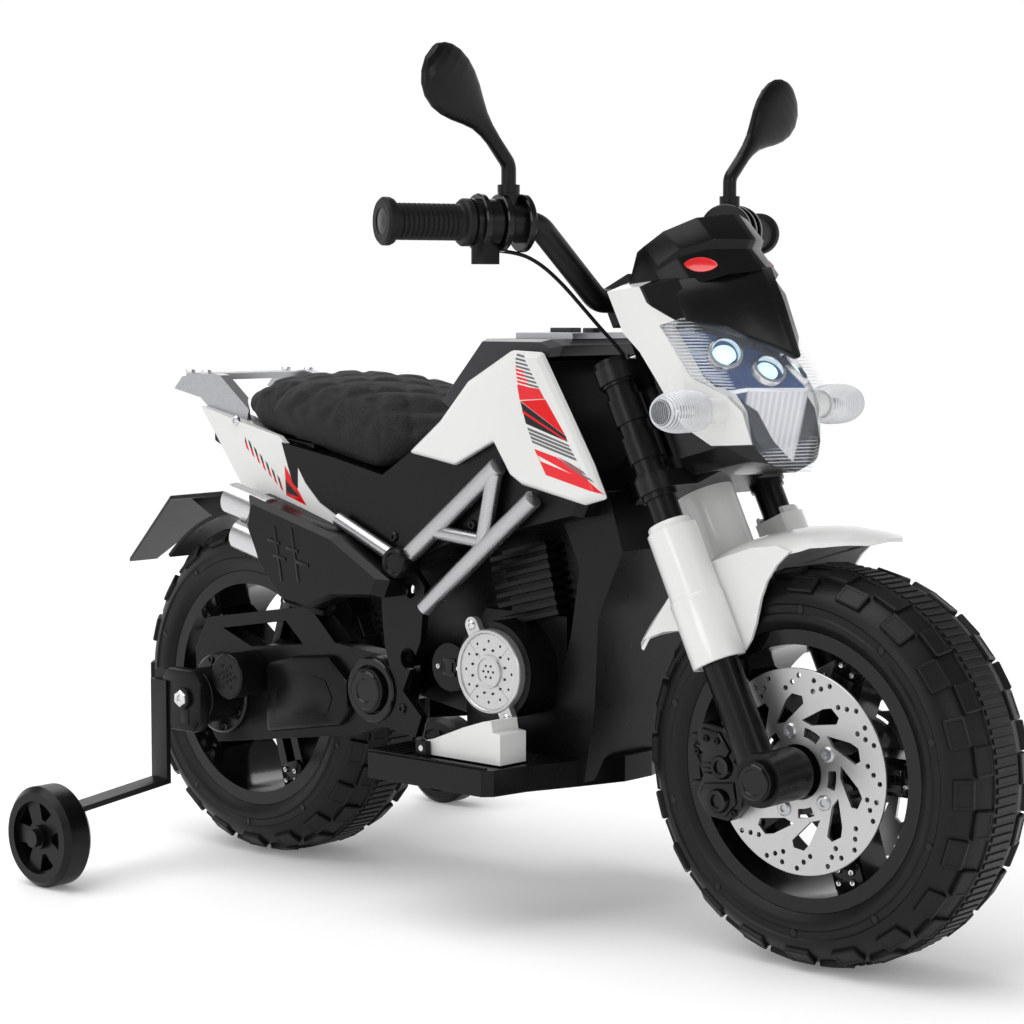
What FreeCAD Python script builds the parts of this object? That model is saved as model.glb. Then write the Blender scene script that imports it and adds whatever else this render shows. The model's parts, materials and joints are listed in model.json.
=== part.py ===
import FreeCAD, Part
import math
import os
from types import SimpleNamespace

import Sketcher

# A child's battery motorbike with stabiliser wheels, in millimetres.
# +X points forward, +Y to the rider's left, +Z up. The origin lies on the ground, at the
# middle of the bike's length and width. The chassis is measured from the rear axle, the
# steered pieces from the front axle in a frame that leans back with the fork.

Vector = FreeCAD.Vector
Rotation = FreeCAD.Rotation
Placement = FreeCAD.Placement
AXIS_X = Vector(1, 0, 0)
AXIS_Y = Vector(0, 1, 0)
AXIS_Z = Vector(0, 0, 1)
QUARTER_TURN = 90
FULL_TURN = 360

# Driving dimensions: millimetres, and degrees where the name ends in angle.
SIZES = {
    # whole bike
    "wheelbase": 640,
    "tail_overhang": 215,
    "overrun": 2,
    "running_gap": 0.05,
    "seat_gap": 0.3,
    # main wheels
    "tyre_radius": 160,
    "tyre_width": 104,
    "tyre_bore": 112,
    "shoulder_drop": 6,
    "band_width": 36,
    "crown_width": 76,
    "sidewall_drop": 16,
    "bead_width": 92,
    "lug_height": 3,
    "lug_length": 17,
    "lug_width": 15,
    "rim_wall": 12,
    "hub_radius": 34,
    "hub_width": 92,
    "spoke_width": 30,
    "spoke_depth": 34,
    "spoke_slot_width": 12,
    "axle_radius": 6,
    # brake discs
    "disc_radius": 82,
    "disc_bore": 22,
    "disc_thickness": 3,
    "disc_slot_radius": 52,
    "disc_slot_length": 26,
    "disc_slot_width": 13,
    "disc_hole_radius": 2.4,
    "disc_hole_pitch": 9,
    "disc_hole_inset": 7,
    # fork and steering
    "rake_angle": 25.8,
    "axle_lead": 28,
    "leg_lead": 11,
    "leg_spacing": 144,
    "leg_radius": 15,
    "leg_length": 118,
    "collar_radius": 18,
    "collar_height": 14,
    "tube_radius": 12.5,
    "tube_band_radius": 14.5,
    "tube_band_height": 22,
    "tube_band_pitch": 33,
    "tube_top": 362,
    "lug_boss_radius": 21,
    "lug_boss_length": 44,
    "axle_cap_radius": 16,
    "axle_cap_length": 6,
    "spacer_radius": 11,
    "stem_radius": 14,
    "crown_low": 246,
    "crown_thickness": 14,
    "crown_depth": 44,
    "crown_wall": 2,
    "head_length": 82,
    "head_radius": 25,
    "bar_height": 422,
    "clamp_block": 34,
    "caliper_depth": 43,
    "caliper_height": 62,
    "caliper_thickness": 15,
    "caliper_drop": 14,
    "disc_clearance": 1.5,
    # front fender
    "fender_gap": 27,
    "fender_wall": 3,
    "fender_width": 116,
    "fender_crown_drop": 14,
    "fender_start_angle": 49,
    "fender_sweep_angle": 76,
    "neck_radius": 25,
    "guard_wall": 6,
    "guard_low": 102,
    "guard_high": 214,
    "skirt_wall": 3,
    "nose_length": 60,
    # handlebar and controls
    "bar_radius": 10,
    "bar_rise": 62,
    "bar_shoulder_out": 122,
    "bar_shoulder_in": 46,
    "bar_bend_radius": 24,
    "bar_end_out": 243,
    "bar_end_back": 50,
    "grip_radius": 14.5,
    "grip_length": 76,
    "grip_flange_radius": 19,
    "grip_flange_length": 9,
    "housing_radius": 19,
    "housing_length": 22,
    "clamp_radius": 16,
    "clamp_length": 24,
    "tab_length": 30,
    "tab_width": 14,
    "socket_radius": 9,
    "socket_height": 24,
    "mirror_peg_radius": 5,
    "mirror_peg_depth": 14,
    "mirror_stalk_radius": 6,
    "mirror_knee_rise": 22,
    "mirror_neck_reach": 22,
    "mirror_neck_rise": 44,
    "mirror_length": 90,
    "mirror_half_width": 28,
    "mirror_half_depth": 9,
    "mirror_tilt_angle": 44,
    "mirror_glass_thickness": 2,
    "mirror_glass_margin": 5,
    "lead_radius": 1.6,
    "lead_plug_radius": 4,
    "lead_plug_length": 12,
    # headlight, in the leaning frame
    "light_low": 220,
    "light_height": 200,
    "light_depth": 122,
    "light_half_width": 80,
    "light_wall": 3,
    "lamp_radius": 13,
    "lamp_length": 20,
    "hood_half_width": 55,
    "signal_height": 286,
    "signal_lead": 56,
    "signal_half_length": 27,
    "signal_radius": 17,
    "signal_out": 106,
    "signal_stem_radius": 9,
    # chassis shells
    "body_half_width": 86,
    "body_crown": 8,
    "body_wall": 3,
    "body_low": 128,
    "body_height": 190,
    "cowl_low": -34,
    "cowl_height": 226,
    "cowl_half_width": 60,
    "cover_thickness": 5,
    "cover_crown": 5,
    "tank_low": 202,
    "tank_height": 125,
    "tank_top_low": 262,
    "tank_top_height": 74,
    "tank_top_half_width": 78,
    "console_half_width": 44,
    "console_thickness": 5,
    "tail_thickness": 5,
    "tail_low": 164,
    "tail_height": 105,
    "tail_turn_angle": 5,
    "core_rear_half_width": 64,
    "core_front_half_width": 78,
    "core_rear_low": 236,
    "core_rear_top": 253,
    "core_front_low": 178,
    "core_front_top": 239,
    "rack_low": 252,
    "rack_height": 49,
    "rack_half_width": 66,
    "rack_rail_width": 12,
    "rack_deck_thickness": 6,
    "rack_screw_radius": 2.5,
    "rack_screw_spacing": 40,
    # seat
    "seat_low": 216,
    "seat_height": 86,
    "seat_half_width": 87,
    "quilt_pitch": 52,
    "quilt_width": 2.4,
    "quilt_depth": 2,
    # rear fender
    "hugger_gap": 8,
    "hugger_wall": 4,
    "hugger_half_width": 44,
    "hugger_start_angle": 62,
    "hugger_sweep_angle": 74,
    "flap_low": 104,
    "flap_height": 84,
    "flap_wall": 4,
    "flap_tip_half_width": 18,
    "flap_half_width": 44,
    "hanger_half_width": 20,
    # frame, swingarm, trellis
    "beam_half_width": 30,
    "beam_low": 178,
    "beam_thickness": 14,
    "pivot_forward": 208,
    "pivot_height": 25,
    "pivot_radius": 8,
    "pivot_ring_radius": 30,
    "pivot_cap_radius": 20,
    "pivot_cap_length": 8,
    "arm_inner": 60,
    "arm_width": 22,
    "arm_low": -48,
    "arm_height": 140,
    "plate_thickness": 8,
    "plate_low": -12,
    "plate_height": 146,
    "trellis_out": 95,
    "trellis_radius": 8,
    "trellis_low": 104,
    "trellis_height": 126,
    "boss_radius": 12,
    "shock_foot": 12,
    "spring_radius": 12,
    "spring_wire": 2.5,
    "spring_pitch": 9,
    # exhaust
    "silencer_width": 32,
    "silencer_crown": 6,
    "silencer_low": 94,
    "silencer_height": 98,
    "tip_radius": 15,
    "tip_wall": 2,
    "tip_length": 36,
    # engine dummy
    "engine_half_width": 54,
    "engine_low": -15,
    "engine_height": 118,
    "fin_half_width": 64,
    "fin_thickness": 4,
    "fin_pitch": 8,
    "fin_low": 98,
    "fin_depth": 66,
    "fin_core_inset": 8,
    "fin_tilt_angle": 14,
    "fin_forward": 372,
    "clutch_forward": 354,
    "clutch_height": 56,
    "drum_radius": 42,
    "drum_length": 36,
    "clutch_radius": 36,
    "clutch_thickness": 6,
    "clutch_ear_radius": 7,
    "clutch_ear_reach": 43,
    "clutch_ear_angle": 118,
    "clutch_hole_radius": 1.2,
    "clutch_hole_ring": 26,
    "socket_forward": 297,
    "charge_height": 53,
    "charge_flange_radius": 21,
    "charge_boss_radius": 17,
    "charge_flange_thickness": 5,
    "charge_bore": 4,
    "charge_bore_depth": 14,
    "charge_out": 84,
    # footboard and pedal
    "board_low": -38,
    "board_thickness": 22,
    "board_half_width": 150,
    "pedal_out": 114,
    "pedal_width": 32,
    "pedal_length": 84,
    "pedal_height": 36,
    "pedal_forward": 314,
    "pedal_gap": 1.5,
    "pedal_pocket_depth": 11,
    "pedal_pin_radius": 2.5,
    "pedal_pin_ear": 6,
    "pedal_rear_radius": 6,
    # gearbox and power
    "gear_module": 1.25,
    "gear_width": 10,
    "gear_backlash": 0.25,
    "gearbox_wall": 3.5,
    "gearbox_boss_radius": 26,
    "motor_angle": 28,
    "motor_radius": 21,
    "motor_length": 34,
    "motor_shaft_radius": 2.5,
    "motor_shaft_engage": 8,
    "battery_length": 98,
    "battery_half_width": 40,
    "battery_height": 66,
    "battery_forward": 284,
    # console switches
    "power_forward": 386,
    "button_radius": 8,
    "button_height": 4,
    "button_travel": 2,
    "rocker_forward": 356,
    "rocker_length": 24,
    "rocker_width": 14,
    "rocker_height": 4,
    "rocker_depth": 9,
    "rocker_gap": 1.2,
    # stabiliser wheels
    "side_wheel_radius": 46,
    "side_wheel_width": 30,
    "side_wheel_out": 260,
    "side_wheel_back": 36,
    "side_hub_radius": 33,
    "side_core_radius": 11,
    "side_bolt_radius": 4,
    "side_bolt_head_radius": 8,
    "side_bolt_head_length": 5,
    "bracket_out": 118,
    "bracket_thickness": 8,
    "bracket_height": 46,
    "strut_thickness": 5,
    "strut_width": 22,
    "strut_top": 14,
    "strut_bend": 76,
    "axle_nut_radius": 10,
    "axle_nut_length": 8,
}
SPOKES = 5
LUGS = 32
DISC_SLOTS = 10
DISC_HOLES = 16
DISC_ROW_HOLES = 4
CLUTCH_HOLES = 12
FINS = 8
TUBE_BANDS = 4
SPRING_TURNS = 5
DRIVE_TEETH = 66
PINION_TEETH = 12

# Outlines: each point is a share of the piece's own length and height.
TANK_SPAN_SHARES = (0.398, 0.746)
TANK_SHARES = ((0.00, 0.28), (0.25, 0.21), (0.46, 0.39), (0.55, 0.16), (0.61, 0.10), (0.90, 0.00),
               (1.00, 0.05), (0.94, 0.27), (0.69, 0.99), (0.54, 1.00), (0.32, 0.79), (0.17, 0.51))
BODY_SPAN_SHARES = (0.125, 0.711)
BODY_SHARES = ((0.00, 0.59), (0.19, 0.53), (0.36, 0.46), (0.45, 0.57), (0.56, 0.75), (0.68, 0.93),
               (0.75, 1.00), (0.84, 1.00), (1.00, 0.44), (0.97, 0.33), (0.80, 0.25), (0.67, 0.22),
               (0.45, 0.06), (0.38, 0.00), (0.19, 0.19), (0.04, 0.39))
COWL_SPAN_SHARES = (0.59, 0.735)
COWL_SHARES = ((0.00, 0.00), (0.56, 0.00), (0.68, 0.28), (0.72, 0.62), (1.00, 0.87), (0.82, 1.10),
               (0.20, 1.05), (0.50, 0.80), (0.40, 0.55), (0.16, 0.20))
TANK_TOP_SPAN_SHARES = (0.43, 0.648)
TANK_TOP_SHARES = ((0.00, 0.22), (0.10, 0.12), (0.42, 0.62), (0.70, 0.80), (0.97, 0.81),
                   (1.00, 0.93), (0.90, 1.00), (0.38, 1.00), (0.24, 0.72))
TAIL_SPAN_SHARES = (-0.059, 0.234)
TAIL_SHARES = ((0.00, 1.00), (0.34, 0.87), (0.64, 0.77), (0.74, 0.62), (0.84, 0.38), (0.94, 0.22),
               (1.08, 0.10), (1.09, 0.03), (0.93, 0.00), (0.45, 0.20), (0.35, 0.29), (0.19, 0.61))
CORE_SPAN_SHARES = (-0.047, 0.19)
RACK_SPAN_SHARES = (-0.133, 0.034)
RACK_SHARES = ((0.00, 0.66), (0.11, 0.90), (0.49, 1.00), (0.62, 0.94), (1.00, 0.30), (0.96, 0.02),
               (0.66, 0.00), (0.36, 0.50))
RACK_DECK_SHARES = (0.10, 0.50)
SEAT_SPAN_SHARES = (-0.008, 0.440)
# Along the seat: place, half width, underside and top, each as a share of its own size.
SEAT_SHARES = ((0.00, 0.55, 0.56, 0.80), (0.14, 0.84, 0.37, 0.95), (0.34, 0.96, 0.25, 1.00),
               (0.56, 1.00, 0.13, 0.97), (0.74, 0.98, 0.05, 0.84), (0.88, 0.74, 0.24, 0.72),
               (1.00, 0.52, 0.52, 0.70))
SEAT_SIDE_SHARE = 0.45
FLAP_SHARES = ((0.00, 0.00), (0.42, 0.83), (1.00, 1.00))
FLAP_FRONT_SHARE = 0.02
PLATE_SPAN_SHARES = (0.33, 0.435)
PLATE_SHARES = ((0.40, 0.98), (0.12, 0.85), (0.18, 0.55), (0.36, 0.26), (0.00, 0.05), (0.75, 0.00),
                (0.86, 0.13), (0.52, 0.27), (0.84, 0.58), (0.92, 0.91), (0.74, 1.00))
PLATE_HOLE_SHARES = ((0.66, 0.88), (0.62, 0.47))
PLATE_HOLE_SIZE_SHARES = (0.09, 0.14)
ARM_SPAN_SHARES = (-0.07, 0.37)
ARM_SHARES = ((0.03, 0.24), (0.13, 0.00), (0.30, 0.05), (0.80, 0.20), (0.97, 0.34), (1.00, 0.62),
              (0.90, 0.74), (0.70, 0.78), (0.58, 1.00), (0.50, 0.97), (0.08, 0.84), (0.02, 0.62))
ARM_WINDOW_SHARES = ((0.16, 0.78), (0.30, 0.68), (0.55, 0.74), (0.47, 0.88))
TRELLIS_SPAN_SHARES = (0.392, 0.630)
# Each trellis tube runs between two points of the trellis box.
TRELLIS_SHARES = (((0.00, 0.30), (0.74, 1.00)), ((0.18, 0.00), (1.00, 0.80)),
                  ((0.72, 0.97), (0.62, 0.44)), ((0.25, 0.53), (0.66, 0.49)), ((0.00, 0.30), (-0.52, 0.56)))
TRELLIS_STOUT_SHARES = (1, 1, 0.85, 0.8, 0.8)
SILENCER_SPAN_SHARES = (0.104, 0.395)
SILENCER_SHARES = ((0.00, 0.76), (0.03, 1.00), (0.65, 0.70), (1.00, 0.34), (0.96, 0.18), (0.65, 0.14),
                   (0.45, 0.00), (0.28, 0.04), (0.10, 0.38))
TIP_SHARES = ((0.04, 0.86), (0.10, 0.53))
SILENCER_SLOPE_SHARES = (0.97, -0.24)
ENGINE_SPAN_SHARES = (0.452, 0.632)
ENGINE_SHARES = ((0.00, 0.00), (0.86, 0.00), (0.88, 0.22), (1.00, 0.60), (1.00, 1.00), (0.20, 1.00), (0.00, 0.72))
BOARD_SPAN_SHARES = (0.40, 0.686)
# Right edge of the footboard, seen from above: length share, half width share.
BOARD_SHARES = ((0.00, 0.92), (0.04, 1.00), (0.76, 1.00), (0.80, 0.95), (0.83, 0.72), (0.92, 0.42), (1.00, 0.12))
BEAM_SPAN_SHARES = (0.44, 0.69)
LIGHT_SHARES = (
    (0.00, ((0.00, 0.15), (0.12, 1.00), (0.84, 0.87), (0.86, 0.45), (1.00, 0.27), (0.64, 0.00))),
    (0.58, ((0.00, 0.16), (0.12, 1.00), (0.66, 0.88), (0.70, 0.54), (0.76, 0.34), (0.49, 0.10))),
    (1.00, ((0.10, 0.33), (0.08, 0.96), (0.36, 0.90), (0.40, 0.67), (0.43, 0.50), (0.31, 0.32))),
)
# Side outlines of the lens, the cowls and the visor, and the visor's lower edge seen from ahead.
LENS_SHARES = ((0.50, -0.20), (0.55, 0.16), (0.60, 0.28), (0.57, 0.36), (0.46, 0.47), (0.40, 0.68), (0.38, 0.72),
               (1.30, 0.72), (1.30, -0.20))
COWL_ROOM_SHARES = ((0.02, 0.90), (0.06, 0.81), (0.16, 0.67), (0.21, 0.53), (0.28, 0.30), (0.33, 0.21),
                    (0.56, 0.15), (1.30, 0.15), (1.30, 1.30), (0.02, 1.30))
VISOR_SHARES = ((0.28, 1.30), (0.30, 0.72), (0.40, 0.40), (1.30, 0.40), (1.30, 1.30))
BEAK_SHARES = ((0.00, 0.45), (0.19, 0.52), (0.44, 0.575), (0.75, 0.69))
COWL_INNER_SHARE = 0.75
# Sections of the hood: place across, then its outline seen from the side.
HOOD_SHARES = (
    (0.62, ((0.12, 0.97), (0.24, 1.12), (0.66, 1.15), (0.74, 1.02), (0.80, 0.84), (0.36, 0.90))),
    (1.00, ((0.12, 0.97), (0.24, 1.07), (0.50, 1.09), (0.56, 0.99), (0.60, 0.84), (0.36, 0.90))),
)
# Lamp places: across, up and forward, as shares of the light's half width, height and depth.
LAMP_SHARES = ((-0.56, 0.54, 0.58), (-0.20, 0.43, 0.68), (0.20, 0.43, 0.68), (0.56, 0.54, 0.58))
# The side skirt that ties the front fender to a leg guard, in shares of the tyre's radius.
SKIRT_SHARES = ((-0.24, 0.65), (0.00, 0.645), (0.06, 0.68), (0.12, 0.74), (0.20, 0.84), (0.27, 0.905),
                (0.36, 0.955), (0.46, 0.985), (0.40, 1.04), (0.25, 1.09), (0.00, 1.12), (-0.31, 1.07),
                (-0.58, 0.92), (-0.44, 0.91), (-0.31, 0.87))
# The fender's crown: place across and how far it drops there.
CROWN_SHARES = ((1.0, 1.0), (0.88, 0.58), (0.64, 0.24), (0.32, 0.06), (0.0, 0.0))
# The fender's nose: distance back from the tip and half width there.
NOSE_SHARES = ((0.00, 0.28), (0.10, 0.46), (0.27, 0.65), (0.50, 0.81), (0.77, 0.93), (1.00, 1.00))
# The throttle lead's route in the leaning frame: forward, left and up from the front axle.
LEAD_ROUTE = ((-23.3, -156.3, 464.2), (-19, -136, 461), (-20, -112, 452), (-26, -86, 437), (-31, -64, 417),
              (-33, -47, 397), (-32, -36, 381), (-31, -32, 368.6))


class Size:
    """A length that carries its number and the sheet expression that gives it."""

    def __init__(self, value, text):
        self.value = value
        self.text = text

    def join(self, sign, other, value):
        return Size(value, f"({self.text} {sign} {as_size(other).text})")

    def __add__(self, other):
        return self.join("+", other, self.value + as_size(other).value)

    def __sub__(self, other):
        return self.join("-", other, self.value - as_size(other).value)

    def __mul__(self, other):
        return self.join("*", other, self.value * as_size(other).value)

    def __truediv__(self, other):
        return self.join("/", other, self.value / as_size(other).value)

    def __radd__(self, other):
        return as_size(other) + self

    def __rsub__(self, other):
        return as_size(other) - self

    def __rmul__(self, other):
        return as_size(other) * self

    def __neg__(self):
        return as_size(0) - self

    def __float__(self):
        return float(self.value)


def as_size(number):
    if isinstance(number, Size):
        return number
    return Size(number, repr(number))


doc = FreeCAD.newDocument("kids_motorbike")
sheet = doc.addObject("Spreadsheet::Sheet", "sizes")
for row, (alias, number) in enumerate(SIZES.items(), start=1):
    sheet.set(f"A{row}", str(number))
    sheet.setAlias(f"A{row}", alias)
doc.recompute()
s = SimpleNamespace(**{alias: Size(sheet.get(alias), f"sizes.{alias}") for alias in SIZES})
# The same sizes as plain numbers, for shapes that are worked out point by point.
n = SimpleNamespace(**{alias: float(sheet.get(alias)) for alias in SIZES})

rear_x = -(s.wheelbase + s.tyre_radius - s.tail_overhang) / 2
front_x = rear_x + s.wheelbase
axle_z = s.tyre_radius
nodes = {}


def node(label, obj):
    """Name a finished piece and keep it for export."""
    obj.Label = label
    nodes[label] = obj
    return obj


def put(obj, x, y, z, axis=AXIS_Z, angle=0):
    """Place an object, with its position bound to the sheet."""
    obj.Placement = Placement(Vector(float(x), float(y), float(z)), Rotation(axis, float(angle)))
    for name, value in zip("xyz", (x, y, z)):
        obj.setExpression("Placement.Base." + name, as_size(value).text)
    if isinstance(angle, Size):
        obj.setExpression("Placement.Rotation.Angle", angle.text)
    return obj


def primitive(kind, name, **sizes):
    obj = doc.addObject("Part::" + kind, name)
    for key, value in sizes.items():
        obj.setExpression(key, as_size(value).text)
    return obj


def rod_y(name, radius, x, y, z, length):
    """A cylinder along Y, starting at y."""
    obj = primitive("Cylinder", name, Radius=radius, Height=length)
    return put(obj, x, y, z, AXIS_X, -QUARTER_TURN)


def rod_z(name, radius, x, y, z, length):
    return put(primitive("Cylinder", name, Radius=radius, Height=length), x, y, z)


def box(name, x, y, z, length, width, height):
    """A block given by its middle in X and Y and its underside."""
    obj = primitive("Box", name, Length=length, Width=width, Height=height)
    return put(obj, x - length / 2, y - width / 2, z)


def fuse(name, *pieces):
    obj = doc.addObject("Part::MultiFuse", name)
    obj.Shapes = list(pieces)
    obj.Refine = True
    return obj


def cut(name, base, *tools):
    obj = doc.addObject("Part::Cut", name)
    obj.Base = base
    obj.Tool = tools[0] if len(tools) == 1 else fuse(name + "_tools", *tools)
    return obj


def common(name, *pieces):
    obj = doc.addObject("Part::MultiCommon", name)
    obj.Shapes = list(pieces)
    return obj


def mirrored(name, source):
    obj = doc.addObject("Part::Mirroring", name)
    obj.Source = source
    obj.Normal = AXIS_Y
    return obj


def together(name, *pieces):
    """Separate solids that share one piece's name."""
    obj = doc.addObject("Part::Compound", name)
    obj.Links = list(pieces)
    return obj


def both_sides(name, right):
    return together(name, right, mirrored(name + "_other_side", right))


def feature(name, shape):
    obj = doc.addObject("Part::Feature", name)
    obj.Shape = shape
    return obj


def leaning(name, *pieces):
    """Set pieces that were drawn about the front axle into the leaning fork."""
    obj = together(name, *pieces)
    return put(obj, front_x, 0, axle_z, AXIS_Y, -s.rake_angle)


def at_wheel(name, form, x):
    return put(together(name, form), x, 0, axle_z)


def plane(body, role):
    return next(item for item in body.Origin.OriginFeatures if item.Role == role)


def outline_sketch(body, name, role, points):
    """A closed outline whose every corner is held by two sizes."""
    sketch = body.newObject("Sketcher::SketchObject", name)
    sketch.AttachmentSupport = [(plane(body, role), "")]
    sketch.MapMode = "FlatFace"
    corners = [Vector(float(u), float(v), 0) for u, v in points]
    for index, corner in enumerate(corners):
        sketch.addGeometry(Part.LineSegment(corner, corners[(index + 1) % len(corners)]))
    for index in range(len(corners)):
        sketch.addConstraint(Sketcher.Constraint("Coincident", index, 2, (index + 1) % len(corners), 1))
    for index, point in enumerate(points):
        for kind, value in zip(("DistanceX", "DistanceY"), point):
            made = sketch.addConstraint(Sketcher.Constraint(kind, -1, 1, index, 1, float(value)))
            sketch.setExpression(f"Constraints[{made}]", as_size(value).text)
    return sketch


def circle_sketch(body, name, role, radius, u=0, v=0):
    sketch = body.newObject("Sketcher::SketchObject", name)
    sketch.AttachmentSupport = [(plane(body, role), "")]
    sketch.MapMode = "FlatFace"
    sketch.addGeometry(Part.Circle(Vector(float(u), float(v), 0), AXIS_Z, float(radius)))
    for kind, value in zip(("DistanceX", "DistanceY"), (u, v)):
        made = sketch.addConstraint(Sketcher.Constraint(kind, -1, 1, 0, 3, float(value)))
        sketch.setExpression(f"Constraints[{made}]", as_size(value).text)
    made = sketch.addConstraint(Sketcher.Constraint("Radius", 0, float(radius)))
    sketch.setExpression(f"Constraints[{made}]", as_size(radius).text)
    return sketch


def pad(body, sketch, length):
    """Material added evenly on both sides of the sketch."""
    made = body.newObject("PartDesign::Pad", sketch.Name + "_pad")
    made.Profile = sketch
    made.SideType = "Symmetric"
    made.setExpression("Length", as_size(length).text)
    return made


def pocket(body, sketch):
    """A cut right through, both ways from the sketch."""
    made = body.newObject("PartDesign::Pocket", sketch.Name + "_pocket")
    made.Profile = sketch
    made.Type = "ThroughAll"
    made.SideType = "Symmetric"
    return made


def around(body, name, originals, count):
    """Repeat features evenly about the Y axis."""
    doc.recompute()
    made = body.newObject("PartDesign::PolarPattern", name)
    made.Originals = originals
    made.Axis = (plane(body, "Y_Axis"), [""])
    made.Angle = FULL_TURN
    made.Occurrences = count
    body.Tip = made
    return made


def side_points(shares, span_shares, low, height):
    """Corners of a side outline: spans are shares of the wheelbase, heights start at the axle."""
    first, last = span_shares
    return [(float(rear_x) + n.wheelbase * (first + (last - first) * u), float(axle_z) + low + height * v)
            for u, v in shares]


def ring(points, y):
    corners = [Vector(x, y, z) for x, z in points]
    return Part.makePolygon(corners + corners[:1])


def slab(points, y_low, y_high):
    """A side outline pulled straight across from one side to the other."""
    return Part.Face(ring(points, y_low)).extrude(AXIS_Y * (y_high - y_low))


def shrunk(points, step):
    """The same outline drawn towards its middle by a step at its furthest corner."""
    middle_x = sum(x for x, _ in points) / len(points)
    middle_z = sum(z for _, z in points) / len(points)
    reach = max(math.hypot(x - middle_x, z - middle_z) for x, z in points)
    keep = 1 - step / reach
    return [(middle_x + (x - middle_x) * keep, middle_z + (z - middle_z) * keep) for x, z in points]


def inset(points, step):
    """The same outline with every side moved inwards by one step."""
    turn = sum(a[0] * b[1] - b[0] * a[1] for a, b in zip(points, points[1:] + points[:1]))
    way = math.copysign(step, turn)
    moved = []
    for before, corner, after in zip(points[-1:] + points[:-1], points, points[1:] + points[:1]):
        one = Vector(corner[0] - before[0], corner[1] - before[1], 0).normalize()
        two = Vector(after[0] - corner[0], after[1] - corner[1], 0).normalize()
        lean = (one + two) / (1 + one.dot(two))
        moved.append((corner[0] - way * lean.y, corner[1] + way * lean.x))
    return moved


def crowned(points, y_inner, y_edge, y_outer, step):
    """A panel whose outer face stands proud of its edge."""
    wires = [ring(points, y_inner), ring(points, y_edge), ring(shrunk(points, step), y_outer)]
    return Part.makeLoft(wires, True, True)


def rounded_path(points, bend):
    """Straight runs joined by tangent arcs of one radius."""
    edges = []
    start = points[0]
    for before, corner, after in zip(points, points[1:], points[2:]):
        one = (before - corner).normalize()
        two = (after - corner).normalize()
        turn = math.pi - one.getAngle(two)
        reach = bend * math.tan(turn / 2)
        middle = (one + two).normalize()
        inside = bend / math.cos(turn / 2) - bend
        edges.append(Part.LineSegment(start, corner + one * reach).toShape())
        edges.append(Part.Arc(corner + one * reach, corner + middle * inside, corner + two * reach).toShape())
        start = corner + two * reach
    edges.append(Part.LineSegment(start, points[-1]).toShape())
    return Part.Wire(edges)


def tube(path, radius):
    """A round bar along a path of lines and arcs."""
    first = path.OrderedEdges[0]
    start = first.valueAt(first.FirstParameter)
    section = Part.Wire(Part.makeCircle(radius, start, first.tangentAt(first.FirstParameter)))
    return path.makePipeShell([section], True, False)


def straight(a, b, radius):
    return Part.makeCylinder(radius, (b - a).Length, a, b - a)


# Main wheels
def tyre_form():
    body = doc.addObject("PartDesign::Body", "tyre_form")
    crown = s.tyre_radius - s.shoulder_drop
    half = s.tyre_width / 2
    side = [(s.tyre_radius, s.band_width / 2), (crown, s.band_width / 2), (crown, s.crown_width / 2),
            (crown - s.sidewall_drop, half), (s.tyre_bore + s.rim_wall, half), (s.tyre_bore, s.bead_width / 2)]
    profile = side + [(u, -v) for u, v in reversed(side)]
    sketch = outline_sketch(body, "tyre_profile", "XY_Plane", profile)
    turned = body.newObject("PartDesign::Revolution", "tyre_ring")
    turned.Profile = sketch
    turned.ReferenceAxis = (plane(body, "Y_Axis"), [""])
    turned.Angle = FULL_TURN
    lugs = []
    for name, way in (("right", -1), ("left", 1)):
        low = crown - s.sidewall_drop
        high = s.tyre_radius - s.shoulder_drop / 2
        inner = way * (s.crown_width / 2 - s.lug_width / 2)
        outer = way * (half + s.lug_height)
        corners = [(low, inner), (high, inner), (high, way * (s.crown_width / 2 + s.lug_height)), (low, outer)]
        lugs.append(pad(body, outline_sketch(body, "lug_" + name, "XY_Plane", corners), s.lug_length))
    around(body, "lug_row", lugs, LUGS)
    return body


def rim_form():
    body = doc.addObject("PartDesign::Body", "rim_form")
    inner = s.tyre_bore - s.rim_wall
    pad(body, circle_sketch(body, "rim_outer", "XZ_Plane", s.tyre_bore), s.bead_width)
    pocket(body, circle_sketch(body, "rim_inner", "XZ_Plane", inner))
    pad(body, circle_sketch(body, "rim_hub", "XZ_Plane", s.hub_radius), s.hub_width)
    half = s.spoke_width / 2
    start = s.hub_radius - s.spoke_slot_width
    reach = inner + s.rim_wall / 2
    corners = [(start, -half), (reach, -half), (reach, half), (start, half)]
    spoke = pad(body, outline_sketch(body, "rim_spoke", "XZ_Plane", corners), s.spoke_depth)
    around(body, "rim_spokes", [spoke], SPOKES)
    half = s.spoke_slot_width / 2
    start = s.hub_radius + s.spoke_slot_width
    reach = inner - s.spoke_slot_width
    corners = [(start, -half), (reach, -half), (reach, half), (start, half)]
    slot = pocket(body, outline_sketch(body, "spoke_slot", "XZ_Plane", corners))
    around(body, "spoke_slots", [slot], SPOKES)
    pocket(body, circle_sketch(body, "rim_bore", "XZ_Plane", s.axle_radius + s.running_gap))
    body.Tip = body.Group[-1]
    return body


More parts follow.
